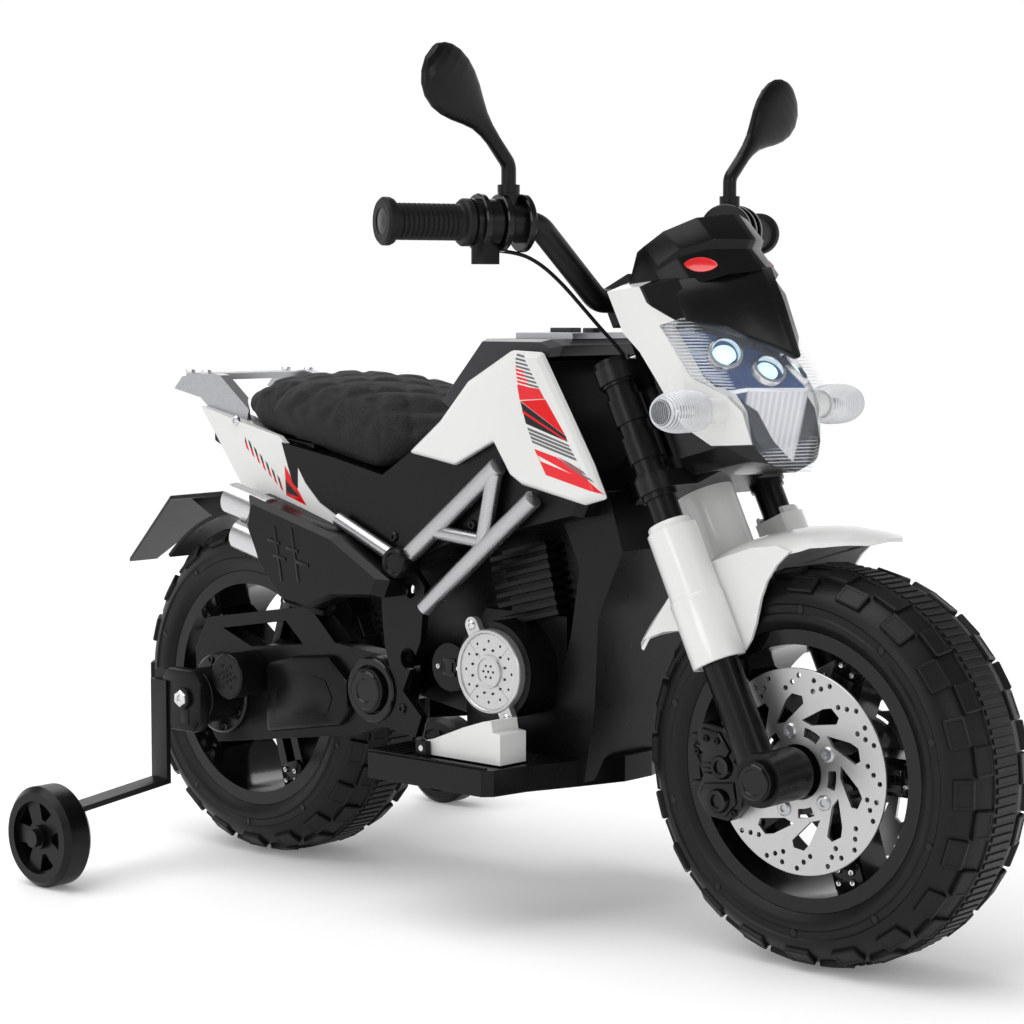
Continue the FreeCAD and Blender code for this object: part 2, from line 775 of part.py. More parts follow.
def disc_form():
    body = doc.addObject("PartDesign::Body", "disc_form")
    pad(body, circle_sketch(body, "disc_edge", "XZ_Plane", s.disc_radius), s.disc_thickness)
    pocket(body, circle_sketch(body, "disc_bore", "XZ_Plane", s.disc_bore))
    start = s.disc_slot_radius - s.disc_slot_length / 2
    reach = s.disc_slot_radius + s.disc_slot_length / 2
    corners = [(start, 0), (reach, -s.disc_slot_width), (reach, 0)]
    slot = pocket(body, outline_sketch(body, "disc_slot", "XZ_Plane", corners))
    around(body, "disc_slots", [slot], DISC_SLOTS)
    holes = []
    for index in range(DISC_ROW_HOLES // 2):
        radius = s.disc_radius - s.disc_hole_inset - index * s.disc_hole_pitch
        across = index * s.disc_hole_pitch
        holes.append(pocket(body, circle_sketch(body, f"disc_hole_{index}", "XZ_Plane", s.disc_hole_radius,
                                                radius, across)))
    around(body, "disc_holes", holes, DISC_HOLES)
    return body


def involute_gear(teeth, width, bore):
    """A spur gear about the Y axis with involute flanks, thinned for backlash."""
    module = n.gear_module
    pressure = math.radians(PRESSURE_ANGLE)
    pitch = module * teeth / 2
    base = pitch * math.cos(pressure)
    tip = pitch + module
    root = pitch - ROOT_SHARE * module
    half = math.pi / (2 * teeth) - n.gear_backlash / (2 * pitch)
    at_pitch = math.tan(pressure) - pressure

    def flank(radius):
        spread = math.acos(min(1, base / radius))
        return half + at_pitch - (math.tan(spread) - spread)

    steps = [max(base, root) + (tip - max(base, root)) * share for share in FLANK_SHARES]
    corners = []
    for tooth in range(teeth):
        middle = 2 * math.pi * tooth / teeth
        rising = [(radius, middle - flank(radius)) for radius in steps]
        falling = [(radius, middle + flank(radius)) for radius in reversed(steps)]
        corners += [(root, rising[0][1])] + rising + falling + [(root, falling[-1][1])]
    points = [Vector(radius * math.cos(turn), 0, radius * math.sin(turn)) for radius, turn in corners]
    blank = Part.Face(Part.makePolygon(points + points[:1])).extrude(AXIS_Y * width)
    return blank.cut(Part.makeCylinder(bore, width, Vector(0, 0, 0), AXIS_Y))


PRESSURE_ANGLE = 20
ROOT_SHARE = 1.25
FLANK_SHARES = (0.0, 0.3, 0.65, 1.0)
gear_distance = s.gear_module * (DRIVE_TEETH + PINION_TEETH) / 2
motor_turn = math.radians(n.motor_angle)
motor_dx = float(gear_distance) * math.cos(motor_turn)
motor_dz = float(gear_distance) * math.sin(motor_turn)


def wheels():
    tyre = tyre_form()
    rim = rim_form()
    for name, x in (("front", front_x), ("rear", rear_x)):
        node(name + "_tyre", at_wheel(name + "_tyre", tyre, x))
        node(name + "_rim", at_wheel(name + "_rim", rim, x))
    disc = put(together("disc_right", disc_form()), 0, -(s.hub_width + s.disc_thickness) / 2, 0)
    node("brake_discs", put(both_sides("brake_discs", disc), front_x, 0, axle_z))


# Fork and steering, drawn about the front axle in the leaning frame
def fork():
    out = s.leg_spacing / 2
    lead = s.leg_lead - s.axle_lead
    face = (s.hub_width / 2 + s.disc_thickness) + s.seat_gap
    lug_in = out - s.leg_radius
    rod = rod_y("axle_rod", s.axle_radius, 0, -(lug_in + s.lug_boss_length), 0, 2 * (lug_in + s.lug_boss_length))
    spacer = rod_y("axle_spacer", s.spacer_radius, 0, -lug_in, 0, lug_in - face)
    cap = rod_y("axle_cap", s.axle_cap_radius, 0, -(lug_in + s.lug_boss_length + s.axle_cap_length), 0,
                s.axle_cap_length)
    ends = [spacer, cap, mirrored("axle_spacer_left", spacer), mirrored("axle_cap_left", cap)]
    node("front_axle", leaning("front_axle", fuse("front_axle_form", rod, *ends)))

    lower = rod_z("leg_lower", s.leg_radius, lead, -out, -s.leg_radius, s.leg_length + s.leg_radius)
    boss = rod_y("leg_boss", s.lug_boss_radius, 0, -(lug_in + s.lug_boss_length), 0, s.lug_boss_length)
    collar = rod_z("leg_collar", s.collar_radius, lead, -out, s.leg_length - s.collar_height, s.collar_height)
    upper = rod_z("leg_upper", s.tube_radius, lead, -out, s.leg_length, s.tube_top - s.leg_length)
    bands = []
    for index in range(TUBE_BANDS):
        z = s.tube_top - s.tube_band_height - index * s.tube_band_pitch
        bands.append(rod_z(f"leg_band_{index}", s.tube_band_radius, lead, -out, z, s.tube_band_height))
    leg = fuse("leg_right_form", lower, boss, collar, upper, *bands)
    inner = box("leg_inner_room", 0, 0, -s.tube_top, 4 * s.tyre_radius, 2 * lug_in, 3 * s.tube_top)
    bore = rod_y("leg_axle_bore", s.axle_radius, 0, -2 * out, 0, 4 * out)
    leg = cut("leg_right", leg, inner, bore)
    legs = both_sides("leg_pair", leg)
    node("fork_legs", leaning("fork_legs", legs))

    high = s.crown_low + s.crown_thickness + s.head_length + 2 * s.seat_gap
    stem = rod_z("stem_tube", s.stem_radius, -s.axle_lead, 0, s.crown_low, s.bar_height - s.crown_low)
    eye = s.tube_band_radius + s.crown_wall
    crowns = []
    for name, z in (("lower", s.crown_low), ("upper", high)):
        crowns.append(box("crown_bar_" + name, lead, 0, z, 2 * eye, s.leg_spacing, s.crown_thickness))
        crowns.append(box("crown_boss_" + name, -s.axle_lead, 0, z, s.crown_depth, s.crown_depth, s.crown_thickness))
        for side, y in (("right", -out), ("left", out)):
            crowns.append(rod_z(f"crown_eye_{name}_{side}", eye, lead, y, z, s.crown_thickness))
    bridge = box("light_bridge", 0, 0, s.crown_low, s.crown_depth, s.light_half_width, s.crown_thickness)
    clamp = box("bar_clamp", -s.axle_lead, 0, s.bar_height - s.clamp_block / 2, s.clamp_block,
                s.clamp_block, s.clamp_block)
    bar_room = rod_y("bar_room", s.bar_radius, -s.axle_lead, -s.clamp_block, s.bar_height, 2 * s.clamp_block)
    column = cut("steering_column", fuse("column_form", stem, *crowns, bridge, clamp), legs, bar_room)
    node("steering_stem", leaning("steering_stem", column))

    # caliper: a block beside the disc, shaped round the leg that carries it
    y = -(s.hub_width / 2 + s.disc_thickness + s.disc_clearance + s.caliper_thickness / 2)
    block = box("caliper_block", lead - s.caliper_depth, y, -s.caliper_drop, 2 * s.caliper_depth - s.leg_radius,
                s.caliper_thickness, s.caliper_height)
    lug_room = rod_y("caliper_lug_room", s.lug_boss_radius, 0, -2 * out, 0, 4 * out)
    caliper = cut("caliper_right", block, leg, lug_room)
    node("brake_calipers", leaning("brake_calipers", both_sides("caliper_pair", caliper)))
    return legs, column


def nose_corners(radius, half):
    """What rounds the fender's tip off, seen along its radius."""
    turn = math.radians(n.fender_start_angle) + n.nose_length / radius / 2
    upward = Vector(math.cos(turn), 0, math.sin(turn))
    ahead = Vector(math.sin(turn), 0, -math.cos(turn))
    tip = radius * math.sin(n.nose_length / radius / 2) + n.overrun
    corners = []
    for way in (-1, 1):
        edge = [(tip - back * n.nose_length, way * half * out) for back, out in NOSE_SHARES]
        edge = [(tip + half, edge[0][1])] + edge + [(edge[-1][0], way * 2 * half), (tip + half, way * 2 * half)]
        points = [upward * (radius / 2) + ahead * x + AXIS_Y * y for x, y in edge]
        corners.append(Part.Face(Part.makePolygon(points + points[:1])).extrude(upward * radius))
    return corners


def fender(legs, column):
    """An arch over the front tyre with a neck to the crown and guards over the legs."""
    top = n.tyre_radius + n.fender_gap
    half = n.fender_width / 2
    drop = n.fender_crown_drop + n.fender_wall
    right = [(top + n.fender_wall - drop * down, -half * out) for out, down in CROWN_SHARES]
    outer = right + [(r, -y) for r, y in reversed(right[:-1])]
    inner = [(r - n.fender_wall, y) for r, y in reversed(outer)]
    corners = [Vector(r, y, 0) for r, y in outer + inner]
    face = Part.Face(Part.makePolygon(corners + corners[:1]))
    origin = Vector(0, 0, 0)
    face.rotate(origin, AXIS_Y, -(n.fender_start_angle + n.fender_sweep_angle))
    arch = face.revolve(origin, AXIS_Y, n.fender_sweep_angle).cut(nose_corners(top, half))
    lead = n.leg_lead - n.axle_lead
    out = n.leg_spacing / 2
    neck_low = math.sqrt(top ** 2 - n.axle_lead ** 2)
    neck = Part.makeCylinder(n.neck_radius, n.crown_low - neck_low, Vector(-n.axle_lead, 0, neck_low))
    pieces = [neck]
    for way in (-1, 1):
        guard = Part.makeCylinder(n.leg_radius + n.guard_wall, n.guard_high - n.guard_low,
                                  Vector(lead, way * out, n.guard_low))
        near = half - n.skirt_wall / 2
        half_room = Part.makeBox(4 * out, out, 4 * out)
        half_room.translate(Vector(-2 * out, near if way > 0 else -near - out, 0))
        pieces.append(guard.common(half_room))
        skirt = [(n.tyre_radius * u, n.tyre_radius * v) for u, v in SKIRT_SHARES]
        pieces.append(slab(skirt, way * near, way * (near + n.skirt_wall)))
    form = arch.fuse(pieces)
    shape = form.cut([legs.Shape, column.Shape]).removeSplitter()
    solid = max(shape.Solids, key=lambda item: item.Volume)
    node("front_fender", leaning("front_fender", feature("fender_form", solid)))


def bar_points():
    """Corners of the bar in the leaning frame: it rises outwards, then sweeps back."""
    rake = math.radians(n.rake_angle)
    rise = Vector(math.sin(rake), 0, math.cos(rake)) * n.bar_rise
    back = Vector(-math.cos(rake), 0, math.sin(rake)) * n.bar_end_back
    middle = Vector(-n.axle_lead, 0, n.bar_height)
    right = [middle + rise + back + Vector(0, -n.bar_end_out, 0), middle + rise + Vector(0, -n.bar_shoulder_out, 0),
             middle + Vector(0, -n.bar_shoulder_in, 0)]
    left = [Vector(p.x, -p.y, p.z) for p in reversed(right)]
    return right + left


def handlebar():
    points = bar_points()
    path = rounded_path(points, n.bar_bend_radius)
    bar = tube(path, n.bar_radius)
    node("handlebar", leaning("handlebar", feature("bar_form", bar)))
    fittings = []
    for name, way in (("right", -1), ("left", 1)):
        end = points[0] if way < 0 else points[-1]
        inward = ((points[1] if way < 0 else points[-2]) - end).normalize()
        bore = n.bar_radius + (n.running_gap if way < 0 else 0)
        grip_start = end - inward * n.grip_flange_length / 2
        grip = Part.makeCylinder(n.grip_radius, n.grip_length, grip_start, inward)
        flange = Part.makeCylinder(n.grip_flange_radius, n.grip_flange_length, grip_start, inward)
        collar = Part.makeCylinder(n.grip_flange_radius, n.grip_flange_length,
                                   grip_start + inward * (n.grip_length - n.grip_flange_length), inward)
        room = Part.makeCylinder(bore, 2 * n.grip_length, end - inward * (n.seat_gap if way < 0 else 0), inward)
        grip = grip.fuse([flange, collar]).cut(room).removeSplitter()
        label = "throttle_grip" if way < 0 else "left_grip"
        node(label, leaning(label, feature(label + "_form", grip)))

        start = grip_start + inward * (n.grip_length + n.seat_gap)
        housing = Part.makeCylinder(n.housing_radius, n.housing_length, start, inward)
        down = Vector(-math.sin(math.radians(n.rake_angle)), 0, -math.cos(math.radians(n.rake_angle)))
        tab = Part.makeBox(n.tab_width, n.housing_length, n.tab_length)
        turn = Rotation(AXIS_Y, n.rake_angle)
        tab.Placement = Placement(start + down * n.tab_length + inward * (n.housing_length if way < 0 else 0)
                                  - Vector(n.tab_width / 2, n.housing_length if way < 0 else 0, 0), turn)
        solid_bar = Part.makeCylinder(n.bar_radius, 2 * n.bar_end_out, end, inward)
        housing = housing.fuse(tab.common(Part.makeCylinder(2 * n.tab_length, n.housing_length, start, inward)))
        housing = housing.cut(solid_bar).removeSplitter()
        fittings.append(housing)

        start = start + inward * n.housing_length
        clamp = Part.makeCylinder(n.clamp_radius, n.clamp_length, start, inward)
        middle = start + inward * (n.clamp_length / 2)
        up = -down
        socket = Part.makeCylinder(n.socket_radius, n.socket_height, middle, up)
        base = middle + up * n.socket_height
        peg_room = Part.makeCylinder(n.mirror_peg_radius + n.running_gap, n.mirror_peg_depth,
                                     base - up * n.mirror_peg_depth, up)
        clamp = clamp.fuse(socket).cut([bar, peg_room]).removeSplitter()
        fittings.append(clamp)
        mirror(name, way, base, up)
    node("bar_fittings", leaning("bar_fittings", feature("fitting_forms", Part.makeCompound(fittings))))


def mirror(name, way, base, up):
    """A teardrop head on a bent stalk that turns in its clamp, with the glass facing back."""
    peg_low = base - up * (n.mirror_peg_depth - n.seat_gap)
    rest = base + up * n.seat_gap
    out = AXIS_Y * way
    knee = rest + up * n.mirror_knee_rise
    neck = rest + up * n.mirror_neck_rise + out * n.mirror_neck_reach
    rise = math.radians(n.mirror_tilt_angle)
    major = out * math.cos(rise) + up * math.sin(rise)
    minor = up * math.cos(rise) - out * math.sin(rise)
    ahead = Rotation(AXIS_Y, n.rake_angle).multVec(AXIS_X)
    stalk = tube(rounded_path([rest, knee, neck], n.mirror_knee_rise / 2), n.mirror_stalk_radius)
    peg = Part.makeCylinder(n.mirror_peg_radius, n.mirror_peg_depth, peg_low, up)
    foot = Part.makeCylinder(n.socket_radius, n.mirror_stalk_radius, rest, up)
    rear = -MIRROR_REAR_SHARE * n.mirror_half_depth

    def head(rows, margin):
        ovals = []
        for along, wide, deep in rows:
            shift = MIRROR_HANG_SHARE * wide * along
            across, depth = n.mirror_half_width * wide - margin, n.mirror_half_depth * deep
            edge = Part.Ellipse(Vector(0, 0, 0), max(across, depth), min(across, depth)).toShape()
            first, second = (minor, ahead) if across > depth else (ahead, minor)
            middle = neck + major * (along * n.mirror_length) - minor * (shift * n.mirror_half_width)
            edge.Placement = Placement(middle, Rotation(first, second, first.cross(second), "XYZ"))
            ovals.append(Part.Wire(edge))
        return Part.makeLoft(ovals, True, True)

    far = 2 * n.mirror_length
    layer = Part.makeBox(2 * far, 2 * far, far, Vector(-far, -far, -far / 2))
    layer.Placement = Placement(neck + ahead * (rear - far / 2),
                                Rotation(major, minor, major.cross(minor), "XYZ"))
    thin = layer.copy()
    thin.translate(ahead * n.mirror_glass_thickness)
    glass = head(MIRROR_SHARES[GLASS_ROWS], n.mirror_glass_margin).common(thin).cut(layer)
    shell = head(MIRROR_SHARES, 0).cut(layer).fuse([stalk, peg, foot]).cut(glass).removeSplitter()
    node("mirror_" + name, leaning("mirror_" + name, feature(f"mirror_{name}_form", shell)))
    node("mirror_glass_" + name, leaning("mirror_glass_" + name, feature(f"mirror_glass_{name}_form", glass)))


# Along the mirror's head: place, half width and half depth.
MIRROR_SHARES = ((-0.06, 0.22, 0.64), (0.06, 0.26, 0.66), (0.18, 0.36, 0.70), (0.30, 0.55, 0.78),
                 (0.42, 0.76, 0.88), (0.54, 0.92, 0.96), (0.66, 1.00, 1.00), (0.78, 0.97, 0.97),
                 (0.88, 0.83, 0.88), (0.95, 0.62, 0.72), (1.00, 0.34, 0.45))
MIRROR_HANG_SHARE = 0.22
MIRROR_REAR_SHARE = 0.35
GLASS_ROWS = slice(3, 10)


def light_mass(keep):
    """The headlight's whole outer form, or a smaller copy of it for the hollow inside."""
    wires = []
    rows = [(-y, points) for y, points in reversed(LIGHT_SHARES)] + list(LIGHT_SHARES[1:])
    for y, points in rows:
        corners = [(keep * (u - LIGHT_MIDDLE_SHARE) * n.light_depth + LIGHT_MIDDLE_SHARE * n.light_depth,
                    n.light_low + n.light_height * (LIGHT_MIDDLE_SHARE + keep * (v - LIGHT_MIDDLE_SHARE)))
                   for u, v in points]
        wires.append(ring(corners, keep * y * n.light_half_width))
    return Part.makeLoft(wires, True, True)


LIGHT_MIDDLE_SHARE = 0.5


def light_outline(shares):
    return [(u * n.light_depth, n.light_low + v * n.light_height) for u, v in shares]


def light_slab(shares, half_width):
    return slab(light_outline(shares), -half_width, half_width)


def beak_room():
    """All that lies above the visor's lower edge, seen from ahead."""
    right = [(-y * n.light_half_width, n.light_low + v * n.light_height) for y, v in BEAK_SHARES]
    far = right[-1][0] - n.light_half_width, right[-1][1]
    high = n.light_low + 2 * n.light_height
    edge = right + [far, (far[0], high), (-far[0], high), (-far[0], far[1])]
    edge += [(-y, z) for y, z in reversed(right[1:])]
    points = [Vector(-n.light_depth, y, z) for y, z in edge]
    return Part.Face(Part.makePolygon(points + points[:1])).extrude(AXIS_X * 4 * n.light_depth)


def headlight(column):
    """One wedge form split into lens, visor, side cowls and housing, with a hood on top."""
    whole = light_mass(1)
    hollow = light_mass(1 - 2 * n.light_wall / n.light_half_width)
    wide = 2 * n.light_half_width
    inner = COWL_INNER_SHARE * n.light_half_width
    core_room = light_slab(((-1, -1), (2, -1), (2, 2), (-1, 2)), inner)
    visor_room = light_slab(VISOR_SHARES, inner).common(beak_room())
    lens_room = light_slab(LENS_SHARES, wide).cut(visor_room)
    lens = whole.common(lens_room)
    visor = whole.common(visor_room)
    rear = whole.cut([lens_room, visor_room]).cut(column.Shape)
    housing = max(rear.common(core_room).Solids, key=lambda item: item.Volume)
    cowls = rear.common(light_slab(COWL_ROOM_SHARES, wide)).cut(core_room)
    cavity = hollow.common(lens_room)
    lens = lens.cut(cavity)
    lamps = []
    for across, up, forward in LAMP_SHARES:
        start = Vector(forward * n.light_depth - 2 * n.lamp_length, across * n.light_half_width,
                       n.light_low + up * n.light_height)
        lamp = Part.makeCylinder(n.lamp_radius, 2 * n.lamp_length, start, AXIS_X)
        lamps.append(lamp.common(cavity))
    rows = [(-y, points) for y, points in reversed(HOOD_SHARES)] + list(HOOD_SHARES)
    hood = Part.makeLoft([ring(light_outline(points), y * n.hood_half_width) for y, points in rows], True, True)
    hood = max(hood.cut(whole).Solids, key=lambda item: item.Volume)
    node("headlight_housing", leaning("headlight_housing", feature("housing_form", housing)))
    node("headlight_cowls", leaning("headlight_cowls", feature("cowl_form", cowls)))
    node("headlight_lens", leaning("headlight_lens", feature("lens_form", lens)))
    node("headlight_visor", leaning("headlight_visor", feature("visor_form", visor)))
    node("headlight_lamps", leaning("headlight_lamps", feature("lamp_form", Part.makeCompound(lamps))))
    node("headlight_hood", leaning("headlight_hood", feature("hood_form", hood)))

    stem = rod_y("signal_stem", s.signal_stem_radius, s.signal_lead, -s.signal_out, s.signal_height, s.signal_out)
    bulb = primitive("Ellipsoid", "signal_bulb", Radius1=s.signal_radius, Radius2=s.signal_radius,
                     Radius3=s.signal_half_length)
    put(bulb, s.signal_lead, -s.signal_out, s.signal_height)
    signal = cut("signal_right", fuse("signal_form", stem, bulb), feature("signal_room", whole))
    node("turn_signals", leaning("turn_signals", both_sides("signal_pair", signal)))


def throttle_lead():
    """A thin lead from the control housing along the bar and down beside the fork tube."""
    points = [Vector(*point) for point in LEAD_ROUTE]
    radius = min(smooth_radius(*three) for three in zip(points, points[1:], points[2:]))
    print("lead bend radius", round(radius, 1))
    lead = tube(smooth_path(points), n.lead_radius)
    plug = Part.makeCylinder(n.lead_plug_radius, n.lead_plug_length, points[-1], -AXIS_Z)
    lead_and_plug = Part.makeCompound([lead, plug])
    node("throttle_lead", leaning("throttle_lead", feature("lead_form", lead_and_plug)))


LEAD_ARC_SHARE = 0.45


def smooth_radius(before, corner, after):
    one = before - corner
    two = after - corner
    turn = math.pi - one.getAngle(two)
    return LEAD_ARC_SHARE * min(one.Length, two.Length) / math.tan(turn / 2)


def smooth_path(points):
    """Runs joined by arcs that are each as large as their two runs allow."""
    edges = []
    start = points[0]
    for before, corner, after in zip(points, points[1:], points[2:]):
        radius = smooth_radius(before, corner, after)
        one = (before - corner).normalize()
        two = (after - corner).normalize()
        turn = math.pi - one.getAngle(two)
        reach = radius * math.tan(turn / 2)
        inside = radius / math.cos(turn / 2) - radius
        edges.append(Part.LineSegment(start, corner + one * reach).toShape())
        edges.append(Part.Arc(corner + one * reach, corner + (one + two).normalize() * inside,
                              corner + two * reach).toShape())
        start = corner + two * reach
    edges.append(Part.LineSegment(start, points[-1]).toShape())
    return Part.Wire(edges)


# Chassis, measured from the rear axle
def spot(u, z):
    """A place on the side view: a share of the wheelbase, and a height above the axle."""
    return Vector(float(rear_x) + n.wheelbase * u, 0, float(axle_z) + z)


def off_axle(x, z):
    return Vector(float(rear_x) + x, 0, float(axle_z) + z)


def leaned(x, z):
    """Where a point of the leaning frame lies when the steering is straight."""
    turn = Rotation(AXIS_Y, -n.rake_angle)
    return turn.multVec(Vector(x, 0, z)) + Vector(float(front_x), 0, float(axle_z))


def across(point, y_low, y_high, radius):
    return Part.makeCylinder(radius, y_high - y_low, Vector(point.x, y_low, point.z), AXIS_Y)


def flipped(shape):
    return shape.mirror(Vector(0, 0, 0), AXIS_Y)


def pair(shape):
    return Part.makeCompound([shape, flipped(shape)])


def main_frame(pivot):
    """Head tube, battery beam and a leg down to the swingarm pivot, welded into one."""
    low = n.crown_low + n.crown_thickness + n.seat_gap
    foot = leaned(-n.axle_lead, low)
    top = leaned(-n.axle_lead, low + n.head_length)
    way = (top - foot).normalize()
    middle = (foot + top) / 2
    bore = n.stem_radius + n.running_gap
    head = Part.makeCylinder(n.head_radius, n.head_length, foot, way)
    room = Part.makeCylinder(bore, 3 * n.head_length, foot - way * n.head_length, way)
    rear, front = (float(rear_x) + n.wheelbase * share for share in BEAM_SPAN_SHARES)
    beam_low = float(axle_z) + n.beam_low
    beam_top = beam_low + n.beam_thickness
    grip = way * (n.head_length / 4)
    beam = slab([(rear, beam_low), (rear, beam_top), (front - n.head_radius, beam_top),
                 ((middle + grip).x, (middle + grip).z), ((middle - grip).x, (middle - grip).z),
                 (front, beam_low)], -n.beam_half_width, n.beam_half_width)
    half = n.pivot_ring_radius / 2
    leg = slab([(rear, beam_top), (rear + n.beam_half_width, beam_low), (pivot.x + half, pivot.z),
                (pivot.x - half / 2, pivot.z)], -half, half)
    cross = across(pivot, -n.arm_inner, n.arm_inner, half)
    shaft_room = across(pivot, -2 * n.arm_inner, 2 * n.arm_inner, n.pivot_radius)
    frame = head.fuse([beam, leg, cross]).cut([room, shaft_room]).removeSplitter()
    node("main_frame", feature("main_frame", frame))
    return frame


def body_shells(frame):
    points = side_points(BODY_SHARES, BODY_SPAN_SHARES, n.body_low, n.body_height)
    edge = n.body_half_width - n.body_crown
    full = crowned(points, 0, -edge, -n.body_half_width, n.body_crown)
    hollow = slab(inset(points, n.body_wall), 0, -(edge - n.body_wall))
    cowl_points = side_points(COWL_SHARES, COWL_SPAN_SHARES, n.cowl_low, n.cowl_height)
    cowl = slab(cowl_points, -n.cowl_half_width, 0)
    shell = full.cut(hollow).fuse(cowl.cut(full)).cut(frame).removeSplitter()
    shell = max(shell.Solids, key=lambda item: item.Volume)
    node("body_shells", feature("body_shells", pair(shell)))
    whole = full.fuse(flipped(full))
    return whole, cowl.fuse(flipped(cowl))


def tank(whole):
    points = side_points(TANK_SHARES, TANK_SPAN_SHARES, n.tank_low, n.tank_height)
    inner = n.body_half_width
    cover = crowned(points, -inner, -(inner + n.cover_thickness), -(inner + n.cover_thickness + n.cover_crown),
                    2 * n.cover_crown)
    node("tank_covers", feature("tank_covers", pair(cover)))
    points = side_points(TANK_TOP_SHARES, TANK_TOP_SPAN_SHARES, n.tank_top_low, n.tank_top_height)
    half = n.tank_top_half_width
    right = crowned(points, 0, -(half - n.body_crown), -half, n.body_crown)
    top = right.fuse(flipped(right)).cut(whole).removeSplitter()
    top = max(top.Solids, key=lambda item: item.Volume)
    level = top.BoundBox.ZMax
    length = n.wheelbase * (CONSOLE_SPAN_SHARES[1] - CONSOLE_SPAN_SHARES[0])
    start = spot(CONSOLE_SPAN_SHARES[0], 0).x
    panel = Part.makeBox(length, 2 * n.console_half_width, n.console_thickness,
                         Vector(start, -n.console_half_width, level))
    high = level + n.console_thickness
    button_at = Vector(float(rear_x) + n.power_forward, 0, high)
    deep = n.console_thickness + n.button_travel + n.overrun
    well = Part.makeCylinder(n.button_radius + n.running_gap, deep, button_at - AXIS_Z * deep)
    button = Part.makeCylinder(n.button_radius, n.console_thickness + n.button_height,
                               button_at - AXIS_Z * n.console_thickness)
    pivot = Vector(float(rear_x) + n.rocker_forward, 0, high - n.console_thickness / 2)
    half_long = n.rocker_length / 2
    half_wide = n.rocker_width / 2
    rocker = Part.makeBox(n.rocker_length, n.rocker_width, n.rocker_height + n.console_thickness,
                          Vector(pivot.x - half_long, -half_wide, high - n.console_thickness))
    pin_out = half_wide + n.rocker_gap + n.console_thickness
    pin = across(pivot, -pin_out, pin_out, n.side_bolt_radius / 2)
    room = Part.makeBox(n.rocker_length + 2 * n.rocker_gap, n.rocker_width + 2 * n.rocker_gap,
                        n.console_thickness + n.rocker_depth,
                        Vector(pivot.x - half_long - n.rocker_gap, -half_wide - n.rocker_gap, high - n.rocker_depth))
    pin_room = across(pivot, -pin_out - n.seat_gap, pin_out + n.seat_gap, n.side_bolt_radius / 2 + n.running_gap)
    node("tank_top", feature("tank_top", top.cut([well, room])))
    node("console_panel", feature("console_panel", panel.cut([well, room, pin_room])))
    node("power_button", feature("power_button", button))
    node("direction_rocker", feature("direction_rocker", rocker.fuse(pin).removeSplitter()))
    print("button top", button_at.x, high, "rocker pivot", pivot.x, pivot.z)
    return cover, top


def seat_section(place):
    """One slice of the seat: flat underside, drawn-in sides and a crowned top."""
    share, wide, under, crown = place
    first, last = SEAT_SPAN_SHARES
    x = float(rear_x) + n.wheelbase * (first + (last - first) * share)
    half = wide * n.seat_half_width
    low = float(axle_z) + n.seat_low + under * n.seat_height
    high = float(axle_z) + n.seat_low + crown * n.seat_height
    shoulder = high - (high - low) * SEAT_CROWN_SHARE
    side = low + (shoulder - low) * SEAT_SIDE_SHARE
    left_low = Vector(x, half * SEAT_FOOT_SHARE, low)
    left_high = Vector(x, half * SEAT_TOP_SHARE, shoulder)
    right_low = Vector(x, -half * SEAT_FOOT_SHARE, low)
    right_high = Vector(x, -half * SEAT_TOP_SHARE, shoulder)
    return Part.Wire([
        Part.LineSegment(left_low, right_low).toShape(),
        Part.Arc(right_low, Vector(x, -half, side), right_high).toShape(),
        Part.Arc(right_high, Vector(x, 0, high), left_high).toShape(),
        Part.Arc(left_high, Vector(x, half, side), left_low).toShape(),
    ])


def seat(whole, core, top):
    cushion = Part.makeLoft([seat_section(place) for place in SEAT_SHARES], True, True)
    lowered = cushion.copy()
    lowered.translate(Vector(0, 0, -n.quilt_depth))
    bounds = cushion.BoundBox
    tall = 2 * n.seat_height
    long = bounds.XLength + bounds.YLength
    strips = []
    count = int(long / n.quilt_pitch)
    for turn in (-1, 1):
        for index in range(count + 1):
            strip = Part.makeBox(2 * long, n.quilt_width, tall, Vector(-long, -n.quilt_width / 2, bounds.ZMin))
            strip.rotate(Vector(0, 0, 0), AXIS_Z, turn * QUARTER_TURN / 2)
            strip.translate(Vector(bounds.XMin - bounds.YLength / 2 + index * n.quilt_pitch, 0, 0))
            strips.append(strip)
    channels = [strip.cut(lowered).common(cushion) for strip in strips]
    channels = [item for item in channels if item.Volume > 1]
    cushion = cushion.cut([whole, core, top]).cut(channels)
    cushion = max(cushion.Solids, key=lambda item: item.Volume)
    node("seat_cushion", feature("seat_cushion", cushion))
    return cushion


def tail(whole):
    rear, front = (float(rear_x) + n.wheelbase * share for share in CORE_SPAN_SHARES)
    ends = ((rear, n.core_rear_half_width, n.core_rear_low, n.core_rear_top),
            (front, n.core_front_half_width, n.core_front_low, n.core_front_top))
    wires = []
    for x, half, low, high in ends:
        corners = [Vector(x, y, float(axle_z) + z) for y, z in ((-half, low), (half, low), (half, high), (-half, high))]
        wires.append(Part.makePolygon(corners + corners[:1]))
    core = Part.makeLoft(wires, True, True).cut(whole)
    core = max(core.Solids, key=lambda item: item.Volume)
    node("tail_core", feature("tail_core", core))
    return core


